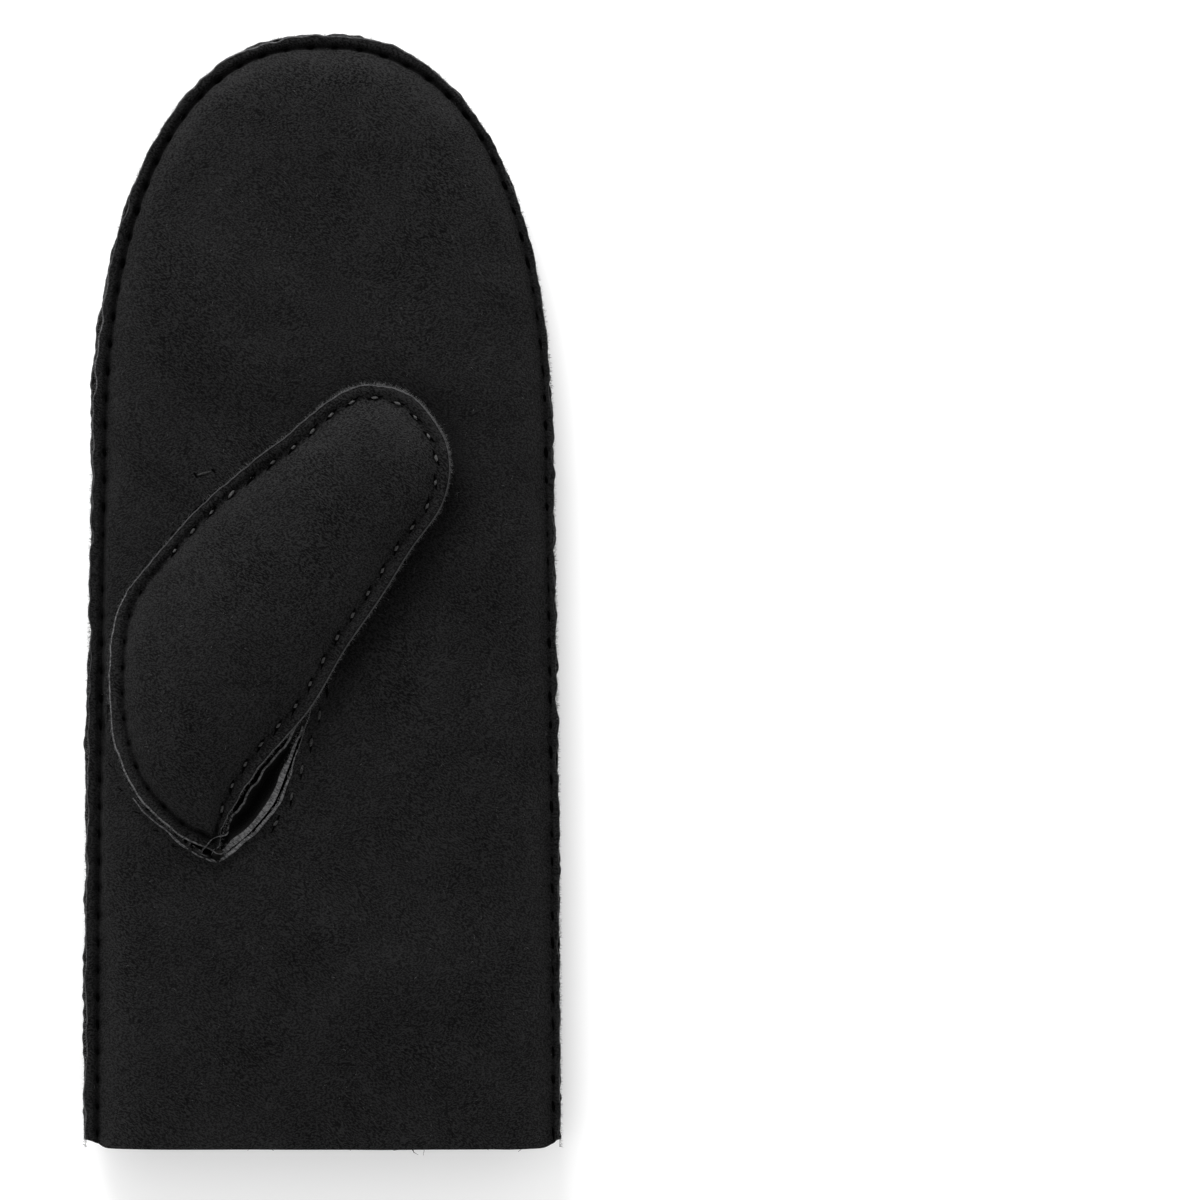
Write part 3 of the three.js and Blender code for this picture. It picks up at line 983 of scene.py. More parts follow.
@dataclass
class HandPanels:
    """Palm and back of the hand part, with the seam that joins them."""

    form: HandForm
    finishes: Wardrobe
    row_pitch: float = 0.00072
    seam_columns: tuple[float, ...] = (0.0, 0.00035, 0.0008, 0.0013, 0.0018, 0.0022, 0.0026, 0.003)
    field_columns: int = 30
    field_power: float = 1.6
    edge_chamfer: float = 0.00035
    stitch_dip: float = 0.0004
    groove_dip: float = 0.0006
    groove_reach: float = 0.0007
    foot_reach: float = 0.0026
    thumb_foot_reach: float = 0.0006
    right_narrowing: float = 0.42
    right_easing: float = 0.55
    # Painted shade on the cut edge, painted light on the flange and the rolls, and a painted shadow beside the
    # thumb.
    edge_painted_shade: float = 0.6
    flange_painted_light: float = 0.6
    rim_painted_light: float = 0.45
    thumb_shadow_strength: float = 0.45
    thumb_shadow_reach: float = 0.006
    pucker: float = 0.00006
    pucker_place: float = 0.0045
    pucker_reach: float = 0.0032
    edge_wave: float = 0.00028
    edge_peek: float = 0.00055
    # Flat places of the fine wrinkles near the right seam.
    WRINKLES = [[(0.0398, 0.074), (0.0458, 0.0743), (0.0513, 0.0723)],
                [(0.0392, 0.0718), (0.0458, 0.0718), (0.0491, 0.0701)],
                [(0.0359, 0.0668), (0.0403, 0.0668), (0.0458, 0.0657)]]
    wrinkle_depth: float = 0.00016
    cuff_corner: float = 0.002
    cuff_corner_reach: float = 0.006
    swell: float = 0.0005

    def __post_init__(self) -> None:
        """Work out the rows, the columns and the stitches of the outline."""
        self.side = self.form.side_line()
        self.stitches = SeamPitch(self.side.length)
        rows = round(self.side.length / self.row_pitch)
        self.run = np.linspace(0.0, self.side.length, rows + 1)
        self.edge = self.side.at(self.run / self.side.length)
        share = np.linspace(0.0, 1.0, self.field_columns + 1)[1:] ** self.field_power
        self.middle_y = self.form.middle_y(self.edge[:, 1])
        self.reach = np.hypot(self.edge[:, 0], self.middle_y - self.edge[:, 1])
        seam = np.tile(np.array(self.seam_columns), (rows + 1, 1))
        beyond = self.form.seam_width + (self.reach[:, None] - self.form.seam_width) * share
        self.distance = np.hstack([seam, beyond])
        self.field_share = np.hstack([np.zeros_like(seam), np.tile(share, (rows + 1, 1))])

    def both_sides(self, left: np.ndarray, right: np.ndarray | None = None) -> np.ndarray:
        """Return full rows from values of each half, from its seam to the middle.

        Args:
            left: Values of the left half.
            right: Values of the right half, or none where they are the left's.

        Returns:
            The values of all points.
        """
        right = left if right is None else right
        return np.concatenate([left, right[:, -2::-1]], axis=1)

    def right_strength(self) -> np.ndarray:
        """Return how deep the seam lies on the right at each row, as a share of the left's depth."""
        return 1 - self.right_easing * smooth((0.84 - self.run / self.side.length) / 0.08)[:, None]

    def right_flange(self, share: np.ndarray) -> np.ndarray:
        """Return how wide the flange shows on the right, as a share of the seam's width."""
        return 1 - self.right_narrowing * smooth((0.95 - share) / 0.13)

    def foot_reaches(self) -> np.ndarray:
        """Return how softly each half row bends up, left rows tightly beside the thumb."""
        beside = smooth((self.edge[:, 1] + 0.09) / 0.02) * smooth((0.035 - self.edge[:, 1]) / 0.02)
        left = self.foot_reach + (self.thumb_foot_reach - self.foot_reach) * beside
        half = self.distance.shape[1]
        left = np.tile(left[:, None], (1, half))
        return np.concatenate([left, np.full((len(left), half - 1), self.foot_reach)], axis=1)

    def painted_light_map(self) -> np.ndarray:
        """Return painted shade in the groove, darkest at the stitches, and on the cut edge, and painted light below
        0 on the flange, the rolls and the edge's highlights.
        """
        # Painted shade in the groove, deepest at the stitches, with a wavering width.
        pull = self.stitches.pull(self.run)[:, None]
        flat = np.column_stack([self.run, np.zeros_like(self.run), np.zeros_like(self.run)])
        width = 0.0005 + 0.00025 * pull + 0.00014 * soft_noise(flat, 0.012, 45)[:, None]
        dark = (0.8 + 0.2 * pull) * bell(self.distance - self.form.seam_width, width)
        # Painted light on the flange.
        flange_lit = self.flange_painted_light * smooth(1 - self.distance / (self.form.seam_width - 0.0003))
        past, y = self.distance - self.form.seam_width, self.edge[:, 1:]
        # Painted light on the rolls beside the groove near the fingertips and at the lower left.
        roll = smooth(past / 0.003) * smooth((0.034 - past) / 0.026) * smooth((y - 0.085) / 0.045)
        low_left = smooth((-0.05 - y) / 0.04) * smooth((0.012 - past) / 0.008) * smooth(past / 0.002)
        # Painted highlights on the cut edge near the fingertips, partway up the left side and along the lower sides;
        # elsewhere the cut edge gets painted shade.
        tip = smooth((y - 0.115) / 0.01)
        edge_highlight_left = np.maximum(tip, np.maximum(bell(y - 0.058, 0.03), 0.6 * smooth((-0.03 - y) / 0.02)))
        edge_highlight_right = np.maximum(0.3 * tip, 0.5 * smooth((-0.05 - y) / 0.02))
        is_edge = self.distance <= self.seam_columns[1] + 1e-9
        left, right = (
            np.where(is_edge, self.edge_painted_shade - 0.9 * edge_highlight, dark * strength - flange_lit - self.rim_painted_light * rim_lit)
            for edge_highlight, strength, rim_lit in ((edge_highlight_left, 1.0, roll + 0.6 * low_left),
                                         (edge_highlight_right, self.right_strength(), roll))
        )
        return self.both_sides(left, right)

    def plan(self) -> np.ndarray:
        """Return the flat places of all points, left seam first."""
        part = self.distance / self.reach[:, None]
        seam = self.form.seam_width
        flange = self.right_flange(self.run / self.side.length)[:, None]
        stretch = (self.reach[:, None] - seam * flange) / (self.reach[:, None] - seam)
        near, beyond = np.minimum(self.distance, seam), np.maximum(self.distance - seam, 0.0)
        right_part = (near * flange + beyond * stretch) / self.reach[:, None]
        corner = self.cuff_corner * smooth(1 - self.distance / (2 * self.form.seam_width))
        corner *= smooth(1 - self.run / self.cuff_corner_reach)[:, None]
        rise = (self.middle_y - self.edge[:, 1])[:, None]
        left, right = (
            np.stack([sign * self.edge[:, :1] * (1 - k), self.edge[:, 1:] + rise * k + corner], axis=-1)
            for sign, k in ((-1.0, part), (1.0, right_part))
        )
        return np.concatenate([left, right[:, -2::-1]], axis=1)

    def seam_relief(self) -> np.ndarray:
        """Return how far the thread moves the surface, outwards."""
        flat = np.column_stack([self.run, np.zeros_like(self.run), np.zeros_like(self.run)])
        pull = (self.stitches.pull(self.run) * (0.8 + 0.4 * soft_noise(flat, 0.03, 46)))[:, None]
        groove = -(self.groove_dip + self.stitch_dip * pull)
        groove = groove * bell(self.distance - self.form.seam_width, self.groove_reach)
        pucker = self.pucker * (1 - 2 * pull) * bell(self.distance - self.pucker_place, self.pucker_reach)
        outside = self.distance >= self.form.seam_width
        relief = groove + np.where(outside, pucker, 0.0)
        return self.both_sides(relief, relief * self.right_strength())

    def seam_inner(self, height: float) -> np.ndarray:
        """Return the seam's inner face, and nan past the groove."""
        values = np.where(self.distance <= self.form.seam_width + 1e-9, height, np.nan)
        return self.both_sides(values)

    def edge_shift(self, plan: np.ndarray, seed: int) -> np.ndarray:
        """Return small in-plane waves of the raw edge.

        Args:
            plan: Flat places of all points.
            seed: Seed of the waves.

        Returns:
            A shift for each point, fading out at the groove.
        """
        places = np.concatenate([plan, np.zeros_like(plan[..., :1])], axis=-1)
        wave = soft_noise(places, 0.009, seed) + 0.5 * soft_noise(places, 0.003, seed + 1)
        fade = self.both_sides(smooth(1 - self.distance / self.form.seam_width))
        outward = np.zeros_like(plan)
        tangent = np.gradient(plan[:, 0], axis=0)
        normal = np.stack([-tangent[:, 1], tangent[:, 0]], axis=-1)
        normal /= np.maximum(np.linalg.norm(normal, axis=-1, keepdims=True), 1e-12)
        half = plan.shape[1] // 2
        outward[:, :half + 1] = normal[:, None]
        outward[:, half + 1:] = normal[:, None] * np.array([-1.0, 1.0])
        return outward * (self.edge_wave * wave * fade)[..., None]

    def peeking_edge(self, plan: np.ndarray) -> np.ndarray:
        """Return how far the back's raw edge shows beside the palm's, on the left and at the tip.

        Args:
            plan: Flat places of all points.

        Returns:
            A shift for each point, fading out at the groove.
        """
        fade = self.both_sides(smooth(1 - self.distance / self.form.seam_width))
        x, y = plan[..., 0], plan[..., 1]
        left = self.edge_peek * np.maximum(smooth((-0.01 - y) / 0.015), 1.6 * bell(y - 0.058, 0.026)) * (x < 0)
        tip = self.edge_peek * bell(x - 0.001, 0.017) * smooth((y - 0.12) / 0.01)
        return np.stack([-left, tip], axis=-1) * fade[..., None]

    def painted_thumb_shadow(self, collar: "Collar", sheet: Sheet) -> np.ndarray:
        """Return the painted shadow on the palm beside the thumb's free edge.

        Args:
            collar: Holds the thumb's right edge.
            sheet: The palm.

        Returns:
            A value for each point.
        """
        places = sheet.outer[..., :2]
        near = np.linalg.norm(places - collar.right.at(0.65), axis=-1) < 0.07
        shade = np.zeros(places.shape[:-1])
        away = np.abs(collar.right.distance(places[near]))
        along = (places[near] - collar.right.points[0]) @ (collar.right.points[-1] - collar.right.points[0])
        along /= ((collar.right.points[-1] - collar.right.points[0]) ** 2).sum()
        # Painted shadow along the thumb's right edge, fading with distance from it and towards the thumb's base.
        shade[near] = self.thumb_shadow_strength * bell(away, self.thumb_shadow_reach) * smooth((along - 0.3) / 0.2)
        return shade

    def wrinkles(self, sheet: Sheet) -> np.ndarray:
        """Return 1 in the fine wrinkles near the right seam and 0 beside them."""
        places = sheet.outer[..., :2]
        depth = np.zeros(places.shape[:-1])
        for rows in self.WRINKLES:
            line = centripetal_line(np.array(rows), 8)
            near = np.linalg.norm(places - line.at(0.5), axis=-1) < 0.011
            on_line = bell(line.distance(places[near]), 0.0004)
            share = np.linalg.norm(places[near] - line.at(0.5), axis=-1) / (0.5 * line.length)
            depth[near] = np.maximum(depth[near], on_line * smooth((1.05 - share) / 0.4))
        return depth

    def build_palm(self, collar: "Collar") -> bpy.types.Object:
        """Return the palm with its thumb hole, raised where the turned-up lip stands.

        Args:
            collar: The line of the thumb hole, with the lip's sizes.

        Returns:
            The palm.
        """
        form = self.form
        seam_face = form.seam_height + form.seam_gap / 2
        plan = self.plan()
        middle = self.both_sides(self.edge[:, 1:] + (self.middle_y - self.edge[:, 1])[:, None]
                                 * self.field_share)
        share = self.both_sides(self.field_share)
        distance = self.both_sides(self.distance)
        rise = crown(share, form.palm_fullness)
        rise *= soft_foot(distance - form.seam_width, self.foot_reaches())
        z = form.palm_foot + form.palm_crown(middle) * rise
        flange = seam_face + form.seam_wall - form.groove_depth * smooth(
            (distance - 0.4 * form.seam_width) / (0.6 * form.seam_width))
        z = np.where(distance <= form.seam_width + 1e-9, flange, z)
        z -= self.edge_chamfer * (1 - np.clip(distance / self.seam_columns[1], 0, 1))
        plan = plan + self.edge_shift(plan, 11)
        sheet = Sheet(np.concatenate([plan, z[..., None]], axis=-1), None, folded_last=True)
        groove = len(self.seam_columns)
        sheet.outer += PressurePass().run(sheet, groove, sheet.outer.shape[1] - 1 - groove)
        fade = smooth((distance - form.seam_width) / 0.012)
        lumps = self.swell * fade * soft_noise(sheet.outer, 0.055, 3)
        lumps += 0.3 * self.swell * fade * soft_noise(sheet.outer, 0.018, 5)
        wrinkles = self.wrinkles(sheet)
        sheet.push(self.seam_relief() + lumps + collar.palm_relief(sheet.outer)
                   - self.wrinkle_depth * wrinkles)
        sheet.hollow(form.wall, self.seam_inner(seam_face))
        # Painted shade of the groove and the wrinkles, painted shadow beside the thumb, and painted light on the
        # flange and the rolls.
        palm = wall_piece(
            "palm", sheet, [self.finishes.palm, self.finishes.wool_side, self.finishes.hand_edge],
            self.painted_light_map() + self.painted_thumb_shadow(collar, sheet) + 0.3 * wrinkles, kept=collar.open_hole(sheet),
        )
        dress(palm, [], ("palm_panel",))
        return palm

    def build_back(self) -> bpy.types.Object:
        """Return the back, flattened where the mitten lies on it."""
        form = self.form
        seam_face = form.seam_height - form.seam_gap / 2
        plan = self.plan()
        share = self.both_sides(self.field_share)
        distance = self.both_sides(self.distance)
        rise = crown(share / form.back_roll_share, form.back_fullness)
        z = form.back_foot * (1 - rise * soft_foot(distance - form.seam_width, self.foot_reach))
        flange = seam_face - form.seam_wall + form.groove_depth * smooth(
            (distance - 0.4 * form.seam_width) / (0.6 * form.seam_width))
        z = np.where(distance <= form.seam_width + 1e-9, flange, z)
        z += self.edge_chamfer * (1 - np.clip(distance / self.seam_columns[1], 0, 1))
        plan = plan + self.edge_shift(plan, 31) + self.peeking_edge(plan)
        sheet = Sheet(
            np.concatenate([plan, z[..., None]], axis=-1), None, folded_last=True, faces_up=False
        )
        lowest = 0.00075
        sheet.outer[..., 2] = np.maximum(sheet.outer[..., 2], lowest)
        sheet.push(self.seam_relief())
        uneven = 0.00025 * soft_noise(sheet.outer, 0.03, 8) + 0.00012 * soft_noise(sheet.outer, 0.012, 9)
        sheet.outer[..., 2] += uneven * smooth((distance - form.seam_width) / 0.012)
        sheet.outer[..., 2] = np.maximum(sheet.outer[..., 2], 0.0002)
        sheet.hollow(form.wall, self.seam_inner(seam_face))
        back = wall_piece(
            "back", sheet, [self.finishes.back, self.finishes.wool_side, self.finishes.hand_edge],
            self.painted_light_map(),
        )
        dress(back, [], ("back_panel",))
        return back

    def build(self, collar: "Collar") -> list[bpy.types.Object]:
        """Build the palm and the back."""
        return [self.build_palm(collar), self.build_back()]


@dataclass
class Collar:
    """Thumb hole: its line, the palm's turned-up lip and the slit beside the thumb."""

    thumb: ThumbForm
    lip_height: float = 0.0019
    lip_wall: float = 0.00045
    lip_gap: float = 0.0003
    foot_reading: float = 0.0013
    foot_sunk: float = 0.0009
    left_lip_gap: float = 0.0004
    hole_gap: float = 0.0006
    fillet_height: float = 0.0011
    fillet_reach: float = 0.0024
    stitch_distance: float = 0.0029
    stitch_dip: float = 0.0005
    lip_start_share: float = 0.24
    lip_end_share: float = 0.77
    lip_taper_share: float = 0.08
    corner_passes: int = 40
    tag_height: float = 0.0036
    tag_wall: float = 0.0003
    TAGS = [
        [(-0.0297, -0.0651), (-0.0284, -0.0637), (-0.0272, -0.0622), (-0.0259, -0.06155), (-0.0236, -0.0611),
         (-0.0231, -0.0603)],
        [(-0.028, -0.0645), (-0.0261, -0.0657), (-0.0247, -0.0658), (-0.0236, -0.0651)],
    ]
    steps: int = 220

    def __post_init__(self) -> None:
        """Work out the closed line of the hole."""
        self.left = self.thumb.line(self.thumb.LEFT, self.thumb.RIGHT)
        self.right = self.thumb.line(self.thumb.RIGHT, self.thumb.LEFT)
        self.hole = self.thumb.line(self.thumb.HOLE)
        self.sewn = self.thumb.sewn_share(self.left)
        shares = np.linspace(0.0, 1.0, self.steps, endpoint=False)
        ring = np.vstack([self.hole.at(shares), self.left.at(shares * self.sewn)])
        for _ in range(self.corner_passes):
            ring = (np.roll(ring, 1, axis=0) + 2 * ring + np.roll(ring, -1, axis=0)) / 4
        self.ring = ring

    def ring_normals(self) -> np.ndarray:
        """Return the unit normals of the ring, pointing out of the hole."""
        step = np.roll(self.ring, -2, axis=0) - np.roll(self.ring, 2, axis=0)
        step /= np.linalg.norm(step, axis=-1, keepdims=True)
        return np.stack([-step[:, 1], step[:, 0]], axis=-1)

    def lip_strength(self) -> np.ndarray:
        """Return 1 where the lip stands along the ring, fading to 0 at its ends."""
        share = np.arange(len(self.ring)) / len(self.ring)
        part = (share - self.lip_start_share) / (self.lip_end_share - self.lip_start_share)
        return smooth(np.minimum(part, 1 - part) / self.lip_taper_share)

    def palm_relief(self, points: np.ndarray) -> np.ndarray:
        """Return how far the lip's foot and the stitches beside the hole move the palm.

        Args:
            points: Places on the palm.

        Returns:
            A height for each place.
        """
        closed = Line(np.vstack([self.ring, self.ring[:1]]))
        near = np.linalg.norm(points[..., :2] - self.ring.mean(axis=0), axis=-1) < 0.075
        relief = np.zeros(points.shape[:-1])
        away = np.abs(closed.distance(points[near][:, :2]))
        rise = self.fillet_height * smooth(1 - away / self.fillet_reach)
        dip = self.stitch_dip * bell(away - self.stitch_distance, 0.0008)
        strength = self.lip_strength()
        nearest = np.array([
            strength[np.argmin(((self.ring - place) ** 2).sum(axis=1))] for place in points[near][:, :2]
        ])
        relief[near] = (rise - dip) * nearest
        return relief

    def holds(self, places: np.ndarray) -> np.ndarray:
        """Return whether flat places lie in the hole."""
        inside = np.zeros(len(places), dtype=bool)
        for (x0, y0), (x1, y1) in zip(self.ring, np.roll(self.ring, -1, axis=0)):
            if y0 == y1:
                continue
            crosses = (places[:, 1] > min(y0, y1)) & (places[:, 1] <= max(y0, y1))
            at = x0 + (places[:, 1] - y0) * (x1 - x0) / (y1 - y0)
            inside ^= crosses & (places[:, 0] < at)
        return inside

    def open_hole(self, sheet: Sheet) -> np.ndarray:
        """Draw the palm's points beside the hole onto its line.

        Args:
            sheet: The palm, with its wool side set.

        Returns:
            Whether each face of the palm's outside stays.
        """
        outer, inner = sheet.outer.reshape(-1, 3), sheet.inner.reshape(-1, 3)
        quads = sheet.quads()
        gone = self.holds(outer[quads].mean(axis=1)[:, :2])
        border = np.intersect1d(quads[gone], quads[~gone])
        wide = self.ring + self.ring_normals() * self.hole_gap
        fine = Line(np.vstack([wide, wide[:1]])).at(np.linspace(0.0, 1.0, 4000))
        for number in border:
            old = outer[number, :2].copy()
            new = fine[np.argmin(((fine - old) ** 2).sum(axis=1))]
            climb = float(self.thumb.hand.palm_top(*new) - self.thumb.hand.palm_top(*old))
            for side in (outer, inner):
                side[number, :2] += new - old
                side[number, 2] += climb
        sheet.outer, sheet.inner = outer.reshape(sheet.outer.shape), inner.reshape(sheet.inner.shape)
        return ~gone

    def build_lip(
        self, palm: "Surface", edge: bpy.types.Material, suede: bpy.types.Material
    ) -> bpy.types.Object:
        """Return the turned-up raw edge of the palm round the slit and the sewn side.

        Args:
            palm: The finished palm's surface.
            edge: Material of the cut skin.
            suede: Material of the lip's sides.

        Returns:
            The lip.
        """
        strength = self.lip_strength()
        kept = np.nonzero(strength > 0.02)[0]
        ring, strength = self.ring[kept], strength[kept]
        flat = np.column_stack([ring, np.zeros(len(ring))])
        lean = 0.00016 * soft_noise(flat, 0.0065, 52) + 0.00008 * soft_noise(flat, 0.003, 53)
        on_left = smooth((kept - 0.5 * len(self.ring)) / (0.03 * len(self.ring)))
        path = ring + self.ring_normals()[kept] * (self.lip_gap + self.left_lip_gap * on_left + lean)[:, None]
        height = self.lip_height * (0.9 + 0.1 * soft_noise(flat, 0.008, 51)) * strength
        at_base = bell((kept - 0.5 * len(self.ring)) / len(self.ring), 0.03)
        width = self.lip_wall * (0.55 + 1.2 * smooth((kept / len(self.ring) - 0.33) / 0.08) + 0.6 * at_base)
        normal = self.ring_normals()[kept]
        foot = palm.height(path + normal * self.foot_reading) - self.foot_sunk
        for _ in range(6):
            foot[1:-1] = (foot[:-2] + 2 * foot[1:-1] + foot[2:]) / 4
        return self.raised_edge("palm_lip", path, foot, height, width, normal, [suede, edge])

    def build_tags(self, edge: bpy.types.Material, suede: bpy.types.Material) -> list[bpy.types.Object]:
        """Return the small folded ends of skin at the slit's foot."""
        tags = []
        for index, rows in enumerate(self.TAGS):
            line = centripetal_line(np.array(rows), 12)
            share = np.linspace(0.0, 1.0, 40)
            path, along = line.at(share), line.tangent(share)
            normal = np.stack([-along[:, 1], along[:, 0]], axis=-1)
            height = self.tag_height * smooth(np.minimum(share + 0.05, 1.05 - share) / 0.2)
            width = self.tag_wall * (1 + 0.3 * np.sin(share * 9.0))
            foot = self.thumb.hand.palm_top(path[:, 0], path[:, 1])
            tags.append(self.raised_edge(f"slit_tag_{index}", path, foot, height, width, normal, [suede, edge]))
        return tags

    def raised_edge(
        self, name: str, path: np.ndarray, foot: np.ndarray, height: np.ndarray, width: np.ndarray,
        normal: np.ndarray, materials: list[bpy.types.Material],
    ) -> bpy.types.Object:
        """Return a thin raw edge of skin that stands up from the palm.

        Args:
            name: Name of the piece.
            path: Flat places along its inner side.
            foot: Height of its foot at each place.
            height: How far it stands up there.
            width: Its thickness at each place.
            normal: Flat directions across it.
            materials: Material of its sides, and of its cut edge.

        Returns:
            The dressed piece.
        """
        # Columns of the section: distance across, share of the height, 1 on the cut edge.
        section = [(0.0, -0.9, 0), (0.0, 0.5, 0), (0.02, 0.88, 1), (0.25, 1.0, 1), (0.75, 1.0, 1),
                   (0.98, 0.85, 0), (1.05, 0.5, 0), (1.6, -0.2, 0), (1.9, -0.9, 0)]
        points = np.stack([
            np.column_stack([path + normal * (width * offset)[:, None], foot + height * share])
            for offset, share, _ in section
        ], axis=1)
        count, sides = points.shape[:2]
        faces, indices = [], []
        for i in range(count - 1):
            for j in range(sides):
                k = (j + 1) % sides
                faces.append([i * sides + j, i * sides + k, (i + 1) * sides + k, (i + 1) * sides + j])
                indices.append(section[j][2])
        faces += [list(range(sides - 1, -1, -1)), list(range((count - 1) * sides, count * sides))]
        indices += [0, 0]
        edge = new_piece(name, points.reshape(-1, 3), faces, materials, np.array(indices))
        select_only(edge)
        bpy.ops.object.mode_set(mode="EDIT")
        bpy.ops.mesh.select_all(action="SELECT")
        bpy.ops.mesh.normals_make_consistent(inside=False)
        bpy.ops.object.mode_set(mode="OBJECT")
        smooth_shade(edge, 50.0)
        return dress(edge, [])


@dataclass
class ThumbPanels:
    """Front and back of the thumb, with the seam that joins them."""

    form: ThumbForm
    collar: Collar
    finishes: Wardrobe
    row_pitch: float = 0.0007
    seam_columns: tuple[float, ...] = (0.0, 0.0003, 0.0008, 0.0014, 0.002, 0.0026, 0.003, 0.0034)
    field_columns: int = 20
    field_power: float = 1.5
    edge_chamfer: float = 0.0005
    stitch_line: float = 0.0034
    stitch_dip: float = 0.00035
    groove_dip: float = 0.00025
    groove_reach: float = 0.0008
    foot_reach: float = 0.0022
    visual_fullness: float = 1.7
    flat_share: float = 0.45
    # Painted light on the flange and the tip's roll, and a painted highlight beside the tip's edge.
    flange_painted_light: float = 0.2
    tip_painted_highlight: float = 1.3
    tip_painted_light: float = 0.4
    base_shift: tuple[float, float] = (0.0004, 0.0017)
    pucker: float = 0.00008
    swell: float = 0.0004
    slit_wave: float = 0.0004
    slit_share: float = 0.34
    # Wanted by the fold of the thumb's back: shares of its edges, as in the solid panels.
    under_start: float = 0.11
    under_end: float = 0.996
    root_start: float = 0.1
    root_power: float = 2.3
    under_rows: int = 520
    under_columns: int = 40
    slit_turn: float = 0.0015
    slit_spread: float = 0.0035
    slit_depth: float = 0.0095
    rim_height: float = 0.0016
    rim_width: float = 0.0014
    rim_gap: float = 0.00025
    edge_step: float = 0.0015

    def __post_init__(self) -> None:
        """Work out the rows of the front and the stitches of both edges."""
        self.left = self.collar.left
        self.right = self.collar.right
        self.sewn = self.collar.sewn
        rows = round(max(self.left.length, self.right.length) / self.row_pitch)
        self.share = np.linspace(0.0, 1.0, rows + 1)
        self.left_stitches = SeamPitch(self.left.length)
        self.right_stitches = SeamPitch(self.right.length)

    def left_wave(self, share: np.ndarray) -> np.ndarray:
        """Return the small waves of the left raw edge, outwards."""
        flat = np.column_stack([share * self.left.length, np.zeros_like(share), np.zeros_like(share)])
        return 0.00016 * soft_noise(flat, 0.008, 64) + 0.00008 * soft_noise(flat, 0.003, 65)

    def slit_edge(self, share: np.ndarray) -> np.ndarray:
        """Return how far the raw edge waves beside the slit, towards it."""
        flat = np.column_stack([share * self.right.length, np.zeros_like(share), np.zeros_like(share)])
        wave = soft_noise(flat, 0.0085, 61) + 0.5 * soft_noise(flat, 0.004, 62)
        return self.slit_wave * wave * smooth((self.slit_share - share) / 0.2) * (
            0.7 + 1.1 * smooth((0.15 - share) / 0.1))

    def half(
        self, line: Line, middle: np.ndarray, crest: np.ndarray, lift: np.ndarray,
        stitches: SeamPitch, wave: np.ndarray, cut: np.ndarray, creased: np.ndarray, painted_cut_edge_shade: np.ndarray,
    ) -> tuple[np.ndarray, np.ndarray, np.ndarray, np.ndarray]:
        """Return one half of the front's rows, from its edge to the middle line.

        Args:
            line: Edge of that side.
            middle: Flat places of the middle line.
            crest: Heights of the middle line.
            lift: Heights of the seam's underside over the palm.
            stitches: Stitches of that edge.
            wave: How far the edge waves outwards.
            cut: Width of the cut edge that shows from above.
            creased: 1 where the stitches sit in one crease darkened with painted shade, 0 where each has its own
                pit.
            painted_cut_edge_shade: How much darker than elsewhere the cut edge is, as painted shade.

        Returns:
            Outer points, heights of the seam's inner face or nan, the relief and the painted light.
        """
        form, hand = self.form, self.form.hand
        edge = line.at(self.share)
        inward = middle - edge
        reach = np.linalg.norm(inward, axis=-1)
        inward /= reach[:, None]
        share = np.linspace(0.0, 1.0, self.field_columns + 1)[1:] ** self.field_power
        seam = np.tile(np.array(self.seam_columns), (len(edge), 1))
        seam[:, 1] = cut
        seam[:, 2] = np.maximum(seam[:, 2], cut + 0.0002)
        seam[:, 3] = np.maximum(seam[:, 3], cut + 0.0004)
        beyond = self.stitch_line + (reach[:, None] - self.stitch_line) * share
        distance = np.hstack([seam, beyond])
        field_share = np.hstack([np.zeros_like(seam), np.tile(share, (len(edge), 1))])
        place = edge[:, None] + inward[:, None] * distance[..., None]
        place += np.array(self.base_shift) * smooth(1 - self.share / 0.07)[:, None, None]
        fade = smooth(1 - distance / self.stitch_line)
        place -= inward[:, None] * (wave[:, None] * fade)[..., None]
        under = hand.palm_top(place[..., 0], place[..., 1]) + lift[:, None]
        flange = under + form.seam_wall
        flange = flange - hand.groove_depth * smooth((distance - self.flat_share * self.stitch_line)
                                                     / ((1 - self.flat_share) * self.stitch_line))
        foot = edge + inward * self.stitch_line
        foot_top = hand.palm_top(foot[:, 0], foot[:, 1]) + lift + form.seam_wall - hand.groove_depth
        rise = crown(field_share, self.visual_fullness)
        rise *= soft_foot(distance - self.stitch_line, self.foot_reach)
        rise *= (crest - foot_top)[:, None]
        z = np.where(distance <= self.stitch_line + 1e-9, flange, foot_top[:, None] + rise)
        chamfer = np.minimum(self.edge_chamfer, 0.7 * cut)[:, None]
        z -= chamfer * (1 - np.clip(distance / cut[:, None], 0, 1))
        pull = stitches.pull(self.share * line.length)[:, None]
        relief = -(self.groove_dip + self.stitch_dip * pull) * bell(distance - self.stitch_line,
                                                                    self.groove_reach)
        relief += self.pucker * (1 - 2 * pull) * bell(distance - 0.0052, 0.0022)
        relief -= 0.0003 * creased[:, None] * bell(distance - self.stitch_line, self.groove_reach)
        inner = np.where(distance <= self.stitch_line + 1e-9, under, np.nan)
        # Painted shade at each stitch's pit and along the crease.
        pit = smooth((pull ** (1 / 3) - 0.3) / 0.3) * 0.9
        crease = creased[:, None] * (0.65 + 0.35 * pull)
        width = 0.0003 + 0.0002 * creased[:, None]
        painted_light = np.maximum(0.5 * pit, crease) * bell(distance - self.stitch_line, width)
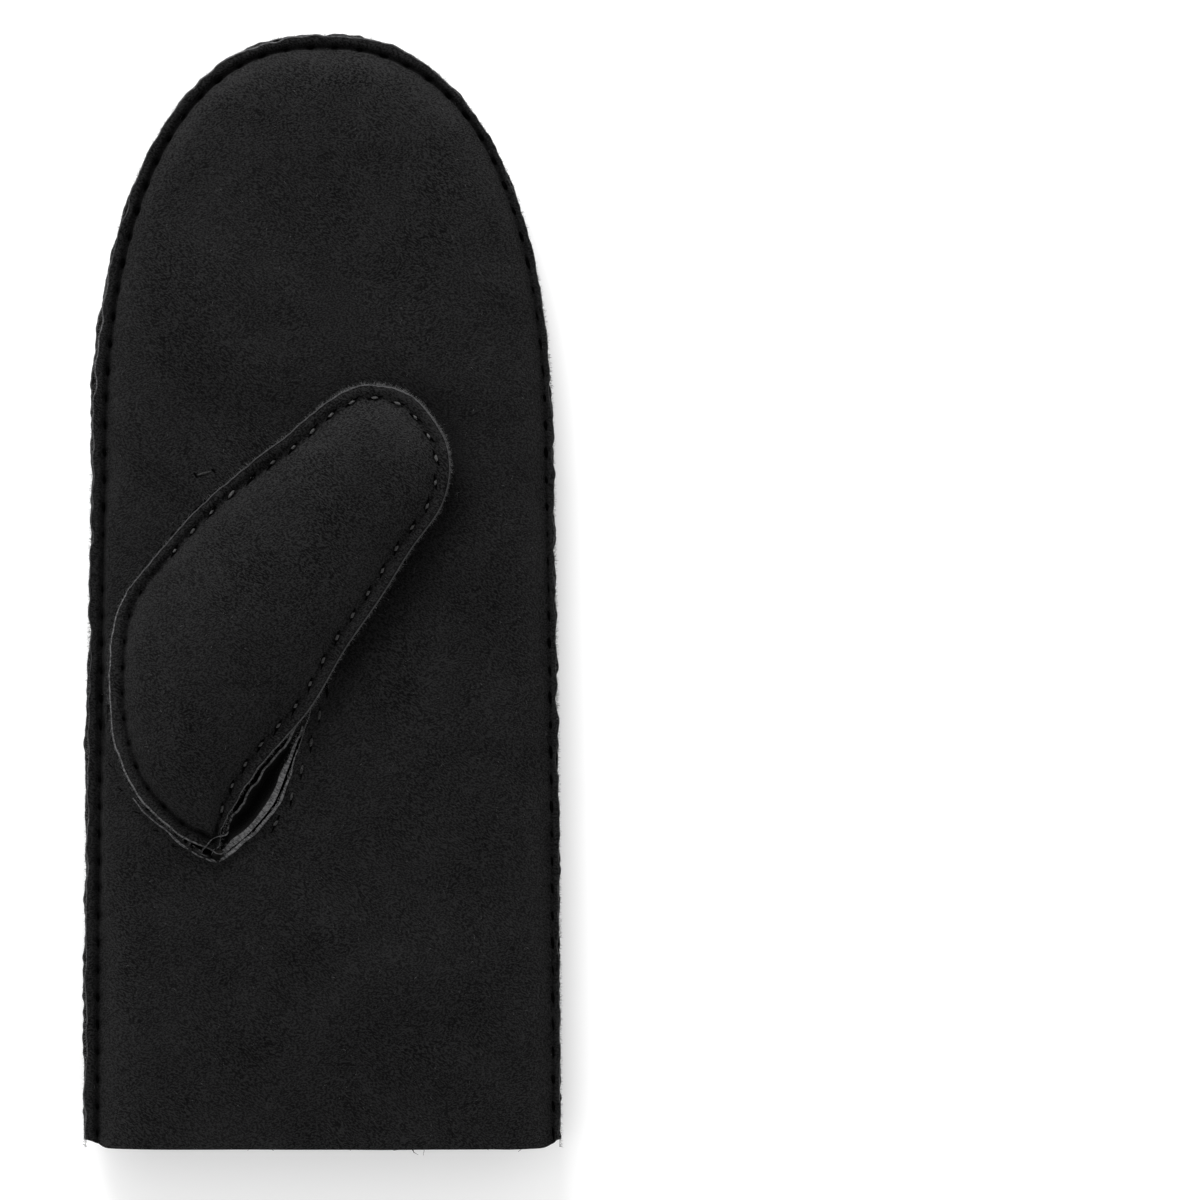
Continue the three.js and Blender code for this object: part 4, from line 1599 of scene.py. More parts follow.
        # Painted light on the flange, a painted highlight near the tip's edge and painted light on the tip's roll.
        painted_light -= self.flange_painted_light * smooth(1 - distance / (self.stitch_line - 0.0004))
        tip = smooth((self.share - 0.84) / 0.1)[:, None]
        painted_light -= self.tip_painted_highlight * tip * (0.75 * bell(distance, 0.0013) + 0.35 * bell(distance - 0.0015, 0.0025))
        painted_light -= self.tip_painted_light * smooth((self.share - 0.66) / 0.3)[:, None] * smooth(
            (distance - self.stitch_line) / 0.0015) * smooth((0.021 - distance) / 0.014)
        # Painted shade on the cut edge, a little less at the tip.
        painted_light = np.where(distance <= cut[:, None] + 1e-9, painted_cut_edge_shade[:, None] * (1 - 0.3 * tip), painted_light)
        return np.concatenate([place, z[..., None]], axis=-1), inner, relief, painted_light

    def build_front(self) -> bpy.types.Object:
        """Return the thumb's front."""
        form, hand = self.form, self.form.hand
        spine = form.line(form.SPINE)
        spine_share = (1 - np.cos(math.pi * self.share)) / 2
        middle = spine.at(spine_share)
        along = form.SPINE[0][0] + (form.SPINE[-1][0] - form.SPINE[0][0]) * spine_share
        crest = hand.palm_top(middle[:, 0], middle[:, 1]) + form.rise * table_value(form.SPINE_RISE, along)
        left_cut = 0.00032 + 0.0002 * bell(self.share - 0.12, 0.17)
        creased = smooth((0.5 - self.share) / 0.1)
        right_cut = np.full_like(self.share, 0.0003)
        # The last argument of each half is painted shade on its cut edge.
        halves = [
            self.half(self.left, middle, crest, form.left_lift(self.share, self.sewn),
                      self.left_stitches, self.left_wave(self.share), left_cut, creased,
                      0.85 * smooth((self.share - 0.4) / 0.15)),
            self.half(self.right, middle, crest, form.right_lift(self.share),
                      self.right_stitches, self.slit_edge(self.share), right_cut,
                      np.zeros_like(self.share),
                      0.55 * smooth((self.share - 0.03) / 0.04) + 0.3 * smooth((self.share - 0.33) / 0.08)),
        ]
        outer, inner, relief, painted_light_map = (
            np.concatenate([halves[0][k], halves[1][k][:, -2::-1]], axis=1) for k in range(4)
        )
        sheet = Sheet(outer, None, folded_first=True, folded_last=True)
        groove = len(self.seam_columns)
        moves = PressurePass(cap=0.001, row_step=7, column_step=2).run(
            sheet, groove, outer.shape[1] - 1 - groove)
        sheet.outer += moves
        column = np.minimum(np.arange(outer.shape[1]), np.arange(outer.shape[1])[::-1])
        fade = smooth((column - groove) / 8.0)[None, :]
        lumps = self.swell * fade * soft_noise(sheet.outer, 0.04, 71)
        lumps += 0.3 * self.swell * fade * soft_noise(sheet.outer, 0.014, 72)
        sheet.push(relief)
        sheet.outer[..., 2] += lumps
        sheet.hollow(form.wall, inner)
        front = wall_piece("thumb_front", sheet, [
            self.finishes.thumb, self.finishes.wool_side, self.finishes.thumb_edge], painted_light_map)
        dress(front, [], ("thumb_front_panel",))
        return front

    def edge_at(self, share: np.ndarray) -> tuple[np.ndarray, np.ndarray, np.ndarray, np.ndarray]:
        """Return the thumb's edge from the hole's top over the tip to the base.

        Args:
            share: Shares of that way.

        Returns:
            Flat places, lifts, whether each lies on the right edge, and shares of that edge.
        """
        free = (1 - self.sewn) * self.left.length
        run = share * (free + self.right.length)
        is_right = run >= free
        left_share = self.sewn + run / self.left.length
        right_share = 1 - (run - free) / self.right.length
        place = np.where(is_right[:, None], self.right.at(right_share), self.left.at(left_share))
        lift = np.where(is_right, self.form.right_lift(right_share),
                        self.form.left_lift(left_share, self.sewn))
        return place, lift, is_right, np.where(is_right, right_share, 1.0)

    def build_back(self) -> bpy.types.Object:
        """Return the thumb's back, which rests on the palm and lines the slit."""
        form, hand = self.form, self.form.hand
        share = np.linspace(self.under_start, self.under_end, self.under_rows + 1)
        edge, lift, is_right, right_share = self.edge_at(share)
        root_share = self.root_start + (1 - self.root_start) * share ** self.root_power
        tangent = self.collar.hole.tangent(root_share)
        root = self.collar.hole.at(root_share)
        away = np.stack([tangent[:, 1], -tangent[:, 0]], axis=-1)
        across = np.array([math.sin(form.slant), -math.cos(form.slant)])
        overhang = (root - edge) @ across
        turned = np.where(is_right, smooth((overhang + self.slit_turn) / (2 * self.slit_turn)), 0.0)
        opened = np.where(is_right, smooth(overhang / self.slit_spread), 0.0)
        rim = self.rim_width * (0.22 + 0.78 * smooth((root_share - 0.6) / 0.2))
        rim *= (1 - 0.45 * smooth((root_share - 0.9) / 0.1)) * (1 + 0.22 * soft_noise(
            np.column_stack([root_share * 0.07, 0 * root_share, 0 * root_share]), 0.004, 83))
        inset = 0.0035 + (rim + self.rim_gap - 0.0035) * turned
        root = root + away * inset[:, None]
        gap = edge - root
        reach = np.linalg.norm(gap, axis=-1)
        wave = self.slit_edge(right_share)
        shorten = opened * np.minimum(self.edge_step, 0.42 * reach)
        edge = edge - gap / reach[:, None] * (shorten + wave * 1.6)[:, None]
        column = np.linspace(0.0, 1.0, self.under_columns + 1)
        column = 0.5 - 0.5 * np.cos(math.pi * column)
        seam = np.minimum(0.003, 0.4 * reach) * (1 - opened)
        place = root[:, None] + (edge - root)[:, None] * column[:, None]
        top = hand.palm_top(place[..., 0], place[..., 1])
        rest = top + (form.rest_gap + (self.rim_height - form.rest_gap) * turned)[:, None]
        drop = (form.seam_wall + (0.0006 - form.seam_wall) * turned)[:, None]
        seam_face = top + lift[:, None] - hand.seam_gap - drop
        roll = np.minimum(form.back_roll, reach - seam)[:, None]
        hang = crown(((1 - column) * reach[:, None] - seam[:, None]) / roll, form.fullness)
        depth = self.slit_depth * smooth(reach / 0.012)
        dip = np.sin(math.pi * column ** 1.15) ** 0.6
        z = seam_face + (rest - seam_face) * hang - (opened * depth)[:, None] * dip
        sheet = Sheet(np.concatenate([place, z[..., None]], axis=-1), None, faces_up=True)
        sheet.push(0.0002 * soft_noise(sheet.outer, 0.01, 81) * opened[:, None])
        lining = rim[:, None] + (0.0005 - rim[:, None]) * smooth(column * 2.0)
        thin = form.seam_wall + (lining - form.seam_wall) * opened[:, None]
        # Painted shade deep in the open slit, fading towards both its edges.
        painted_light_map = smooth(opened * 3.0)[:, None] * smooth((column * reach[:, None] - 0.00005) / 0.0004)
        painted_light_map = painted_light_map * smooth(((1 - column) * reach[:, None] - 0.00005) / 0.0003)
        sheet.hollow(thin[..., None], np.full(sheet.outer.shape[:2], np.nan))
        back = wall_piece("thumb_back", sheet, [
            self.finishes.thumb, self.finishes.wool_side, self.finishes.thumb_edge], painted_light_map)
        dress(back, [], ("thumb_back_panel",))
        return back

    def build(self) -> list[bpy.types.Object]:
        """Build the thumb's front and back."""
        return [self.build_front(), self.build_back()]


@dataclass(frozen=True)
class Strand:
    """Round strand that is modelled once and copied: a stitch, a lock of wool or a hair."""

    length: float
    radius: float
    sides: int = 6
    steps: int = 5
    bow: float = 0.0
    curl: float = 0.0
    turns: float = 0.0
    blunt: bool = False

    def template(self) -> tuple[np.ndarray, list[list[int]]]:
        """Return the points and faces of a strand along +Y that rises to +Z.

        Returns:
            Points around the origin and the numbers of each face's points.
        """
        rows = []
        for k in range(self.steps + 1):
            share = k / self.steps
            width = math.sin(math.pi * (0.12 + 0.76 * share)) ** 0.7 if self.blunt else 1.02 - share
            if self.blunt and k in (0, self.steps):
                width *= 0.45
            angle = 2 * math.pi * self.turns * share
            lean = self.curl * math.sin(math.pi * min(1.0, share * 1.4) / 2)
            centre = np.array([lean * math.cos(angle), self.length * (share - 0.5),
                               self.bow * math.sin(math.pi * share) + lean * math.sin(angle)])
            turn = np.arange(self.sides) * 2 * math.pi / self.sides
            ring = np.column_stack([np.cos(turn), np.zeros(self.sides), np.sin(turn)])
            rows.append(centre + ring * self.radius * max(width, 0.08))
        faces = []
        for k in range(self.steps):
            for j in range(self.sides):
                a, b = k * self.sides + j, k * self.sides + (j + 1) % self.sides
                faces.append([a, a + self.sides, b + self.sides, b])
        last = self.steps * self.sides
        faces.append(list(range(self.sides)))
        faces.append(list(range(last + self.sides - 1, last - 1, -1)))
        return np.vstack(rows), faces

    def copies(
        self, name: str, places: np.ndarray, along: np.ndarray, up: np.ndarray, sizes: np.ndarray,
        material: bpy.types.Material, dimmed: np.ndarray | None = None,
    ) -> bpy.types.Object:
        """Return one mesh that holds a copy of the strand at each place.

        Args:
            name: Name of the piece.
            places: Middles of the strands.
            along: Their directions.
            up: Directions that each strand's bow faces.
            sizes: Scale of each strand's length, and of its thickness.
            material: Their finish.
            dimmed: How much darker each strand is, set in the painted light attribute, or none where all are alike.

        Returns:
            The linked object.
        """
        template, faces = self.template()
        along = along / np.linalg.norm(along, axis=-1, keepdims=True)
        side = np.cross(along, up)
        side /= np.linalg.norm(side, axis=-1, keepdims=True)
        up = np.cross(side, along)
        points = places[:, None] + (
            side[:, None] * (template[:, :1] * sizes[:, None, 1:])
            + along[:, None] * (template[:, 1:2] * sizes[:, None, :1])
            + up[:, None] * (template[:, 2:] * sizes[:, None, 1:])
        )
        count = len(template)
        all_faces = [[n + k * count for n in face] for k in range(len(places)) for face in faces]
        piece = new_piece(name, points.reshape(-1, 3), all_faces, [material])
        if dimmed is not None:
            layer = piece.data.attributes.new(PAINTED_LIGHT, "FLOAT", "POINT")
            layer.data.foreach_set("value", np.repeat(dimmed, count).astype(np.float32))
        smooth_shade(piece, 80.0)
        return piece


class Surface:
    """Finished panels as they are seen from above."""

    def __init__(self, panels: list[bpy.types.Object]) -> None:
        """Take the panels' shapes.

        Args:
            panels: The panels, finished.
        """
        bpy.context.view_layer.update()
        depsgraph = bpy.context.evaluated_depsgraph_get()
        self.trees = [BVHTree.FromObject(panel, depsgraph) for panel in panels]

    def under(self, x: float, y: float) -> tuple[Vector, Vector] | None:
        """Return the highest point at a flat place with its normal, or none beside the panels."""
        hits = [tree.ray_cast(Vector((x, y, 0.1)), Vector((0, 0, -1))) for tree in self.trees]
        hits = [(point, normal) for point, normal, _, _ in hits if point is not None]
        return max(hits, key=lambda hit: hit[0].z) if hits else None

    def height(self, flat: np.ndarray) -> np.ndarray:
        """Return the heights at flat places that lie on the panels."""
        return np.array([self.under(float(x), float(y))[0].z for x, y in flat])


@dataclass
class Stitching:
    """Thread of the outside seams, the thumb's seam, the thumb hole and the three points."""

    hand: HandPanels
    thumb: ThumbPanels
    surface: Surface
    finishes: Wardrobe
    seam_stitch: Strand = Strand(length=0.0029, radius=0.00036, bow=0.0003, blunt=True)
    thumb_stitch: Strand = Strand(length=0.0023, radius=0.00034, bow=0.0003, blunt=True)
    stitch_end: Strand = Strand(length=0.0054, radius=0.00029, bow=-0.0001, blunt=True)
    point_stitch: Strand = Strand(length=0.0026, radius=0.0003, bow=0.00025, blunt=True)
    TACK = [(-0.0314, 0.029), (-0.0269, 0.0301)]
    stitch_painted_shade: float = 0.45
    hole_first_share: float = 0.499
    hole_last_share: float = 0.877
    # Rows of the three points, seen from above through the mitten: start and end in metres.
    POINTS = [((-0.0163, -0.035), (-0.0318, 0.047)), ((-0.0011, -0.032), (-0.0034, 0.0505)),
              ((0.0143, -0.0355), (0.0231, 0.0454))]
    point_row_gap: float = 0.0043
    point_pitch: float = 0.0054

    def uneven(self, count: int, seed: int) -> np.ndarray:
        """Return slightly different sizes for strands."""
        return np.random.default_rng(seed).uniform(0.86, 1.12, size=(count, 2))

    def turned(self, along: np.ndarray, angle: float) -> np.ndarray:
        """Return flat directions turned by an angle."""
        cos, sin = math.cos(angle), math.sin(angle)
        flat = np.stack([along[..., 0] * cos - along[..., 1] * sin,
                         along[..., 0] * sin + along[..., 1] * cos], axis=-1)
        return np.concatenate([flat, np.zeros_like(flat[..., :1])], axis=-1)

    def build_hand_seam(self) -> bpy.types.Object:
        """Return the stitches in the groove round the hand, on the palm and on the back."""
        panels, form = self.hand, self.hand.form
        share = panels.stitches.places() / panels.side.length
        edge = panels.side.at(share)
        middle = np.column_stack([np.zeros(len(edge)), form.middle_y(edge[:, 1])])
        inward = middle - edge
        inward /= np.linalg.norm(inward, axis=-1, keepdims=True)
        along = panels.side.tangent(share)
        mirror = np.array([-1.0, 1.0])
        places, directions, ups = [], [], []
        even = np.ones(len(share))
        right_depth = np.interp(share, panels.run / panels.side.length, panels.right_strength()[:, 0])
        sunk = panels.groove_dip + panels.stitch_dip
        for foot, up in ((form.palm_foot, 1.0), (form.back_foot, -1.0)):
            for flip, flange, depth in ((np.ones(2), panels.right_flange(share), right_depth),
                                        (mirror, even, even)):
                place = edge + inward * form.seam_width * flange[:, None]
                places.append(np.column_stack([place * flip, foot - up * sunk * depth]))
                directions.append(self.turned(along * flip, 0.12))
                ups.append(np.tile([0.0, 0.0, up], (len(place), 1)))
        places, directions, ups = np.vstack(places), np.vstack(directions), np.vstack(ups)
        # Thread nearly black with the groove's painted shade.
        seam = self.seam_stitch.copies(
            "outside_seam_thread", places, directions, ups, self.uneven(len(places), 101) ** 3,
            self.finishes.thread_and_painted_shade)
        return dress(seam, [])

    def build_thumb_seam(self) -> list[bpy.types.Object]:
        """Return the stitches in the thumb's crease, nearly black with painted shade, and the ones that show."""
        creased = ((True, 0.03, 0.5),)
        shown = ((True, 0.5, 0.985), (False, 0.03, 0.985))
        beads = self.thumb_stitches("thumb_seam_thread", shown, -0.0003, self.finishes.thread)
        return [
            self.thumb_stitches("thumb_crease_thread", creased, 0.00038, self.finishes.thread_and_painted_shade),
            beads, self.sunk_ends("thumb_seam_ends", beads),
        ]

    def thumb_stitches(
        self, name: str, runs: tuple[tuple[bool, float, float], ...], sunk: float,
        material: bpy.types.Material,
    ) -> bpy.types.Object:
        """Return the stitches along runs of the thumb's edges.

        Args:
            name: Name of the piece.
            runs: Whether each run is on the left edge, with its first and last share.
            sunk: How deep the stitches lie in the seam.
            material: Finish of the thread.

        Returns:
            The dressed piece.
        """
        panels, form = self.thumb, self.thumb.form
        places, directions, dimmed = [], [], []
        spine = form.line(form.SPINE)
        for is_left, first, last in runs:
            line = panels.left if is_left else panels.right
            stitches = panels.left_stitches if is_left else panels.right_stitches
            share = stitches.places() / line.length
            share = share[(share > first) & (share < last)]
            edge = line.at(share)
            inward = spine.at((1 - np.cos(math.pi * share)) / 2) - edge
            inward /= np.linalg.norm(inward, axis=-1, keepdims=True)
            flat = edge + inward * panels.stitch_line
            z = self.surface.height(flat) - sunk
            places.append(np.column_stack([flat, z]))
            directions.append(self.turned(line.tangent(share), 0.2))
            # Painted shade on the stitches, fading out towards the tip.
            dimmed.append(self.stitch_painted_shade * (1 - smooth((share - 0.78) / 0.12)))
        places, directions = np.vstack(places), np.vstack(directions)
        sizes = self.uneven(len(places), 111)
        # Each stitch also gets a random tone that follows its thickness.
        dimmed = np.concatenate(dimmed) + 1.5 * (sizes[:, 1] - 1)
        up = np.tile([0.0, 0.0, 1.0], (len(places), 1))
        seam = self.thumb_stitch.copies(name, places, directions, up, sizes, material, dimmed)
        return dress(seam, [])

    def sunk_ends(self, name: str, beads: bpy.types.Object) -> bpy.types.Object:
        """Return nearly black strands at the ends of light stitches: painted shade of the holes where the thread
        goes down into the skin.

        Args:
            name: Name of the piece.
            beads: Piece that holds the light stitches, one strand after the other.

        Returns:
            The dressed piece.
        """
        template, _ = self.thumb_stitch.template()
        points = np.array([vertex.co[:] for vertex in beads.data.vertices]).reshape(-1, len(template), 3)
        places = points.mean(axis=1)
        sides = self.thumb_stitch.sides
        along = points[:, -sides:].mean(axis=1) - points[:, :sides].mean(axis=1)
        along /= np.linalg.norm(along, axis=-1, keepdims=True)
        reach = along[:, :2] * self.stitch_end.length * 0.32
        places[:, 2] = (self.surface.height(places[:, :2] + reach)
                        + self.surface.height(places[:, :2] - reach)) / 2 + 0.0001
        up = np.tile([0.0, 0.0, 1.0], (len(places), 1))
        ends = self.stitch_end.copies(
            name, places, self.turned(along[:, :2], 0.1), up, self.uneven(len(places), 141),
            self.finishes.thread_and_painted_shade)
        return dress(ends, [])

    def build_hole_seam(self) -> list[bpy.types.Object]:
        """Return the stitches beside the slit and the tack at the hole's top."""
        collar = self.thumb.collar
        first, last = self.hole_first_share, self.hole_last_share
        stitches = SeamPitch(collar.hole.length * (last - first), 0.0074)
        share = first + stitches.places() / collar.hole.length
        along = collar.hole.tangent(share)
        outward = np.stack([-along[:, 1], along[:, 0]], axis=-1)
        flat = collar.hole.at(share) + outward * collar.stitch_distance
        z = self.surface.height(flat) + 0.0002
        up = np.tile([0.0, 0.0, 1.0], (len(flat), 1))
        seam = self.thumb_stitch.copies(
            "thumb_hole_thread", np.column_stack([flat, z]), self.turned(along, 0.15), up,
            self.uneven(len(flat), 121), self.finishes.darker_thread)
        return [dress(seam, []), self.sunk_ends("thumb_hole_ends", seam),
                self.build_sewn_side(), *self.build_tack()]

    def build_sewn_side(self) -> bpy.types.Object:
        """Return the small stitches outside the lip on the sewn side of the hole, nearly black with painted shade.
        """
        collar = self.thumb.collar
        share = np.arange(0.022, 0.23, 0.0062 / collar.left.length)
        along = collar.left.tangent(share)
        flat = collar.left.at(share) + np.stack([-along[:, 1], along[:, 0]], axis=-1) * 0.0027
        up = np.tile([0.0, 0.0, 1.0], (len(flat), 1))
        places = np.column_stack([flat, self.surface.height(flat)])
        sizes = self.uneven(len(flat), 123) * 0.5
        stitches = self.stitch_end.copies(
            "thumb_sewn_side_thread", places, self.turned(along, 0.5), up, sizes, self.finishes.thread_and_painted_shade)
        return dress(stitches, [])

    def build_tack(self) -> list[bpy.types.Object]:
        """Return the one long stitch at the hole's top and its two nearly black ends, painted shade of its holes."""
        flat = np.array(self.TACK)
        middle = flat.mean(axis=0, keepdims=True)
        along = self.turned(flat[1:] - flat[:1], 0.0)
        up = np.array([[0.0, 0.0, 1.0]])
        tack = self.thumb_stitch.copies(
            "thumb_hole_tack", np.column_stack([middle, self.surface.height(middle)]), along, up,
            np.array([[1.75, 0.75]]), self.finishes.darker_thread)
        ends = self.stitch_end.copies(
            "thumb_hole_tack_ends", np.column_stack([flat, self.surface.height(flat)]),
            self.turned(np.array([[0.5, -0.8], [0.8, -0.7]]), 0.0), np.vstack([up, up]),
            np.array([[0.3, 1.1], [0.3, 1.1]]), self.finishes.thread_and_painted_shade)
        return [dress(tack, []), dress(ends, [])]

    def build_points(self) -> list[bpy.types.Object]:
        """Return the three tucks on the back and their double rows of stitches."""
        return [self.build_tucks(), self.build_point_thread()]

    def build_tucks(self) -> bpy.types.Object:
        """Return the raised folds of suede between the points' rows of stitches."""
        across = np.linspace(-0.0046, 0.0046, 25)
        points, faces = [], []
        count = 0
        for index, (start, end) in enumerate(self.POINTS):
            start, end = np.array(start), np.array(end)
            length = np.linalg.norm(end - start)
            direction = (end - start) / length
            side = np.array([direction[1], -direction[0]])
            run = np.linspace(-0.004, length + 0.004, 150)
            flat = start + run[:, None, None] * direction + across[None, :, None] * side
            live = smooth((run + 0.004) / 0.006) * smooth((length + 0.004 - run) / 0.006)
            pull = np.zeros((len(run), len(across)))
            for row, offset in ((-1, 0.0), (1, 0.5)):
                phase = (run / self.point_pitch + offset) * 2 * math.pi
                stitch = (0.5 + 0.5 * np.cos(phase)) ** 2
                pull += stitch[:, None] * bell(across - row * self.point_row_gap / 2, 0.0006)[None]
            ridge = 0.00062 * bell(across, 0.0011)
            flank = 0.0004 * bell(np.abs(across) - 0.0034, 0.0007)
            relief = (ridge + flank)[None] * live[:, None] - 0.0003 * pull * live[:, None]
            fade = smooth((0.0046 - np.abs(across)) / 0.0012)[None] * live[:, None]
            z = 0.0009 - 0.00012 * fade - relief * fade
            grid = np.concatenate([flat, np.maximum(z, 0.00005)[..., None]], axis=-1)
            lid = grid.copy()
            lid[..., 2] = 0.0014
            numbers = count + np.arange(grid.shape[0] * grid.shape[1]).reshape(grid.shape[:2])
            above = numbers + numbers.size
            count += 2 * numbers.size
            points += [grid.reshape(-1, 3), lid.reshape(-1, 3)]
            quads = np.stack([numbers[:-1, :-1], numbers[1:, :-1], numbers[1:, 1:], numbers[:-1, 1:]], -1)
            faces += quads.reshape(-1, 4).tolist()
            faces += (quads[..., ::-1] + numbers.size).reshape(-1, 4).tolist()
            rim = np.concatenate([numbers[:-1, 0], numbers[-1, :-1], numbers[:0:-1, -1], numbers[0, :0:-1]])
            for a, b in zip(rim, np.roll(rim, -1)):
                faces.append([int(b), int(a), int(a) + numbers.size, int(b) + numbers.size])
        tucks = new_piece("back_points", np.vstack(points), faces, [self.finishes.back])
        select_only(tucks)
        bpy.ops.object.mode_set(mode="EDIT")
        bpy.ops.mesh.select_all(action="SELECT")
        bpy.ops.mesh.normals_make_consistent(inside=False)
        bpy.ops.object.mode_set(mode="OBJECT")
        smooth_shade(tucks, 60.0)
        return dress(tucks, [])

    def build_point_thread(self) -> bpy.types.Object:
        """Return the stitches of the points: short bars, each with a cross bar at its ends."""
        places, directions, sizes = [], [], []
        for start, end in self.POINTS:
            start, end = np.array(start), np.array(end)
            length = np.linalg.norm(end - start)
            direction = (end - start) / length
            side = np.array([direction[1], -direction[0]])
            for row, offset in ((-1, 0.0), (1, 0.5)):
                run = np.arange(offset * self.point_pitch, length, self.point_pitch)
                middle = start + run[:, None] * direction + row * side * self.point_row_gap / 2
                for shift, along, size in ((0.0, direction, 1.0), (-0.0011, side, 0.62), (0.0011, side, 0.62)):
                    places.append(middle + direction * shift)
                    directions.append(np.tile(along, (len(run), 1)))
                    sizes.append(np.full((len(run), 2), (size, 0.85 if size < 1 else 1.0)))
        places, directions, sizes = np.vstack(places), np.vstack(directions), np.vstack(sizes)
        places = np.column_stack([places, np.full(len(places), 0.00062)])
        directions = np.column_stack([directions, np.zeros(len(directions))])
        up = np.tile([0.0, 0.0, -1.0], (len(places), 1))
        sizes *= self.uneven(len(places), 131)
        thread = self.point_stitch.copies(
            "back_point_thread", places, directions, up, sizes, self.finishes.thread_and_painted_shade)
        return dress(thread, [])

    def build(self) -> list[bpy.types.Object]:
        """Build all thread."""
        return [self.build_hand_seam(), *self.build_thumb_seam(), *self.build_hole_seam(),
                *self.build_points()]


@dataclass
class Wool:
    """Curly wool that fills the mouth of the cuff."""

    hand: HandForm
    finishes: Wardrobe
    lock: Strand = Strand(length=0.0078, radius=0.00062, sides=4, steps=8, curl=0.0009, turns=1.3)
    count: int = 2900
    first_y: float = 0.0012
    depth: float = 0.017
    side_gap: float = 0.0065
    root: float = 0.0002

    def build(self) -> bpy.types.Object:
        """Return the locks of wool on the inner sides of the palm and the back."""
        draws = np.random.default_rng(7)
        hand = self.hand
        reach = hand.cuff_half_width - self.side_gap
        x = draws.uniform(-reach, reach, self.count)
        y = -hand.length / 2 + self.first_y + self.depth * draws.uniform(0, 1, self.count) ** 1.4
        on_palm = draws.uniform(size=self.count) < 0.52
        palm_z = hand.palm_top(x, y) - hand.wall - self.root
        share = (hand.edge_half_width(y) - np.abs(x) - hand.seam_width)
        share /= (hand.edge_half_width(y) - hand.seam_width) * hand.back_roll_share
        back_z = hand.back_foot * (1 - crown(share, hand.back_fullness)) + hand.wall + self.root
        z = np.where(on_palm, palm_z, back_z)
        down = np.where(on_palm, -1.0, 1.0)
        lean = draws.normal(scale=0.38, size=(self.count, 2))
        along = np.column_stack([lean[:, 0], lean[:, 1], down])
        along[:, 1] = np.where(y < -hand.length / 2 + 0.004, np.abs(along[:, 1]) * 0.3, along[:, 1])
        along /= np.linalg.norm(along, axis=-1, keepdims=True)
        sizes = draws.uniform(0.75, 1.2, size=(self.count, 2))
        room = (palm_z - back_z) * 0.62
        sizes[:, 0] = np.minimum(sizes[:, 0], room / self.lock.length)
        places = np.column_stack([x, y, z]) + along * (self.lock.length * sizes[:, :1] / 2)
        up = draws.normal(size=(self.count, 3))
        wool = self.lock.copies("cuff_wool", places, along, up, sizes, self.finishes.wool)
        return dress(wool, [])


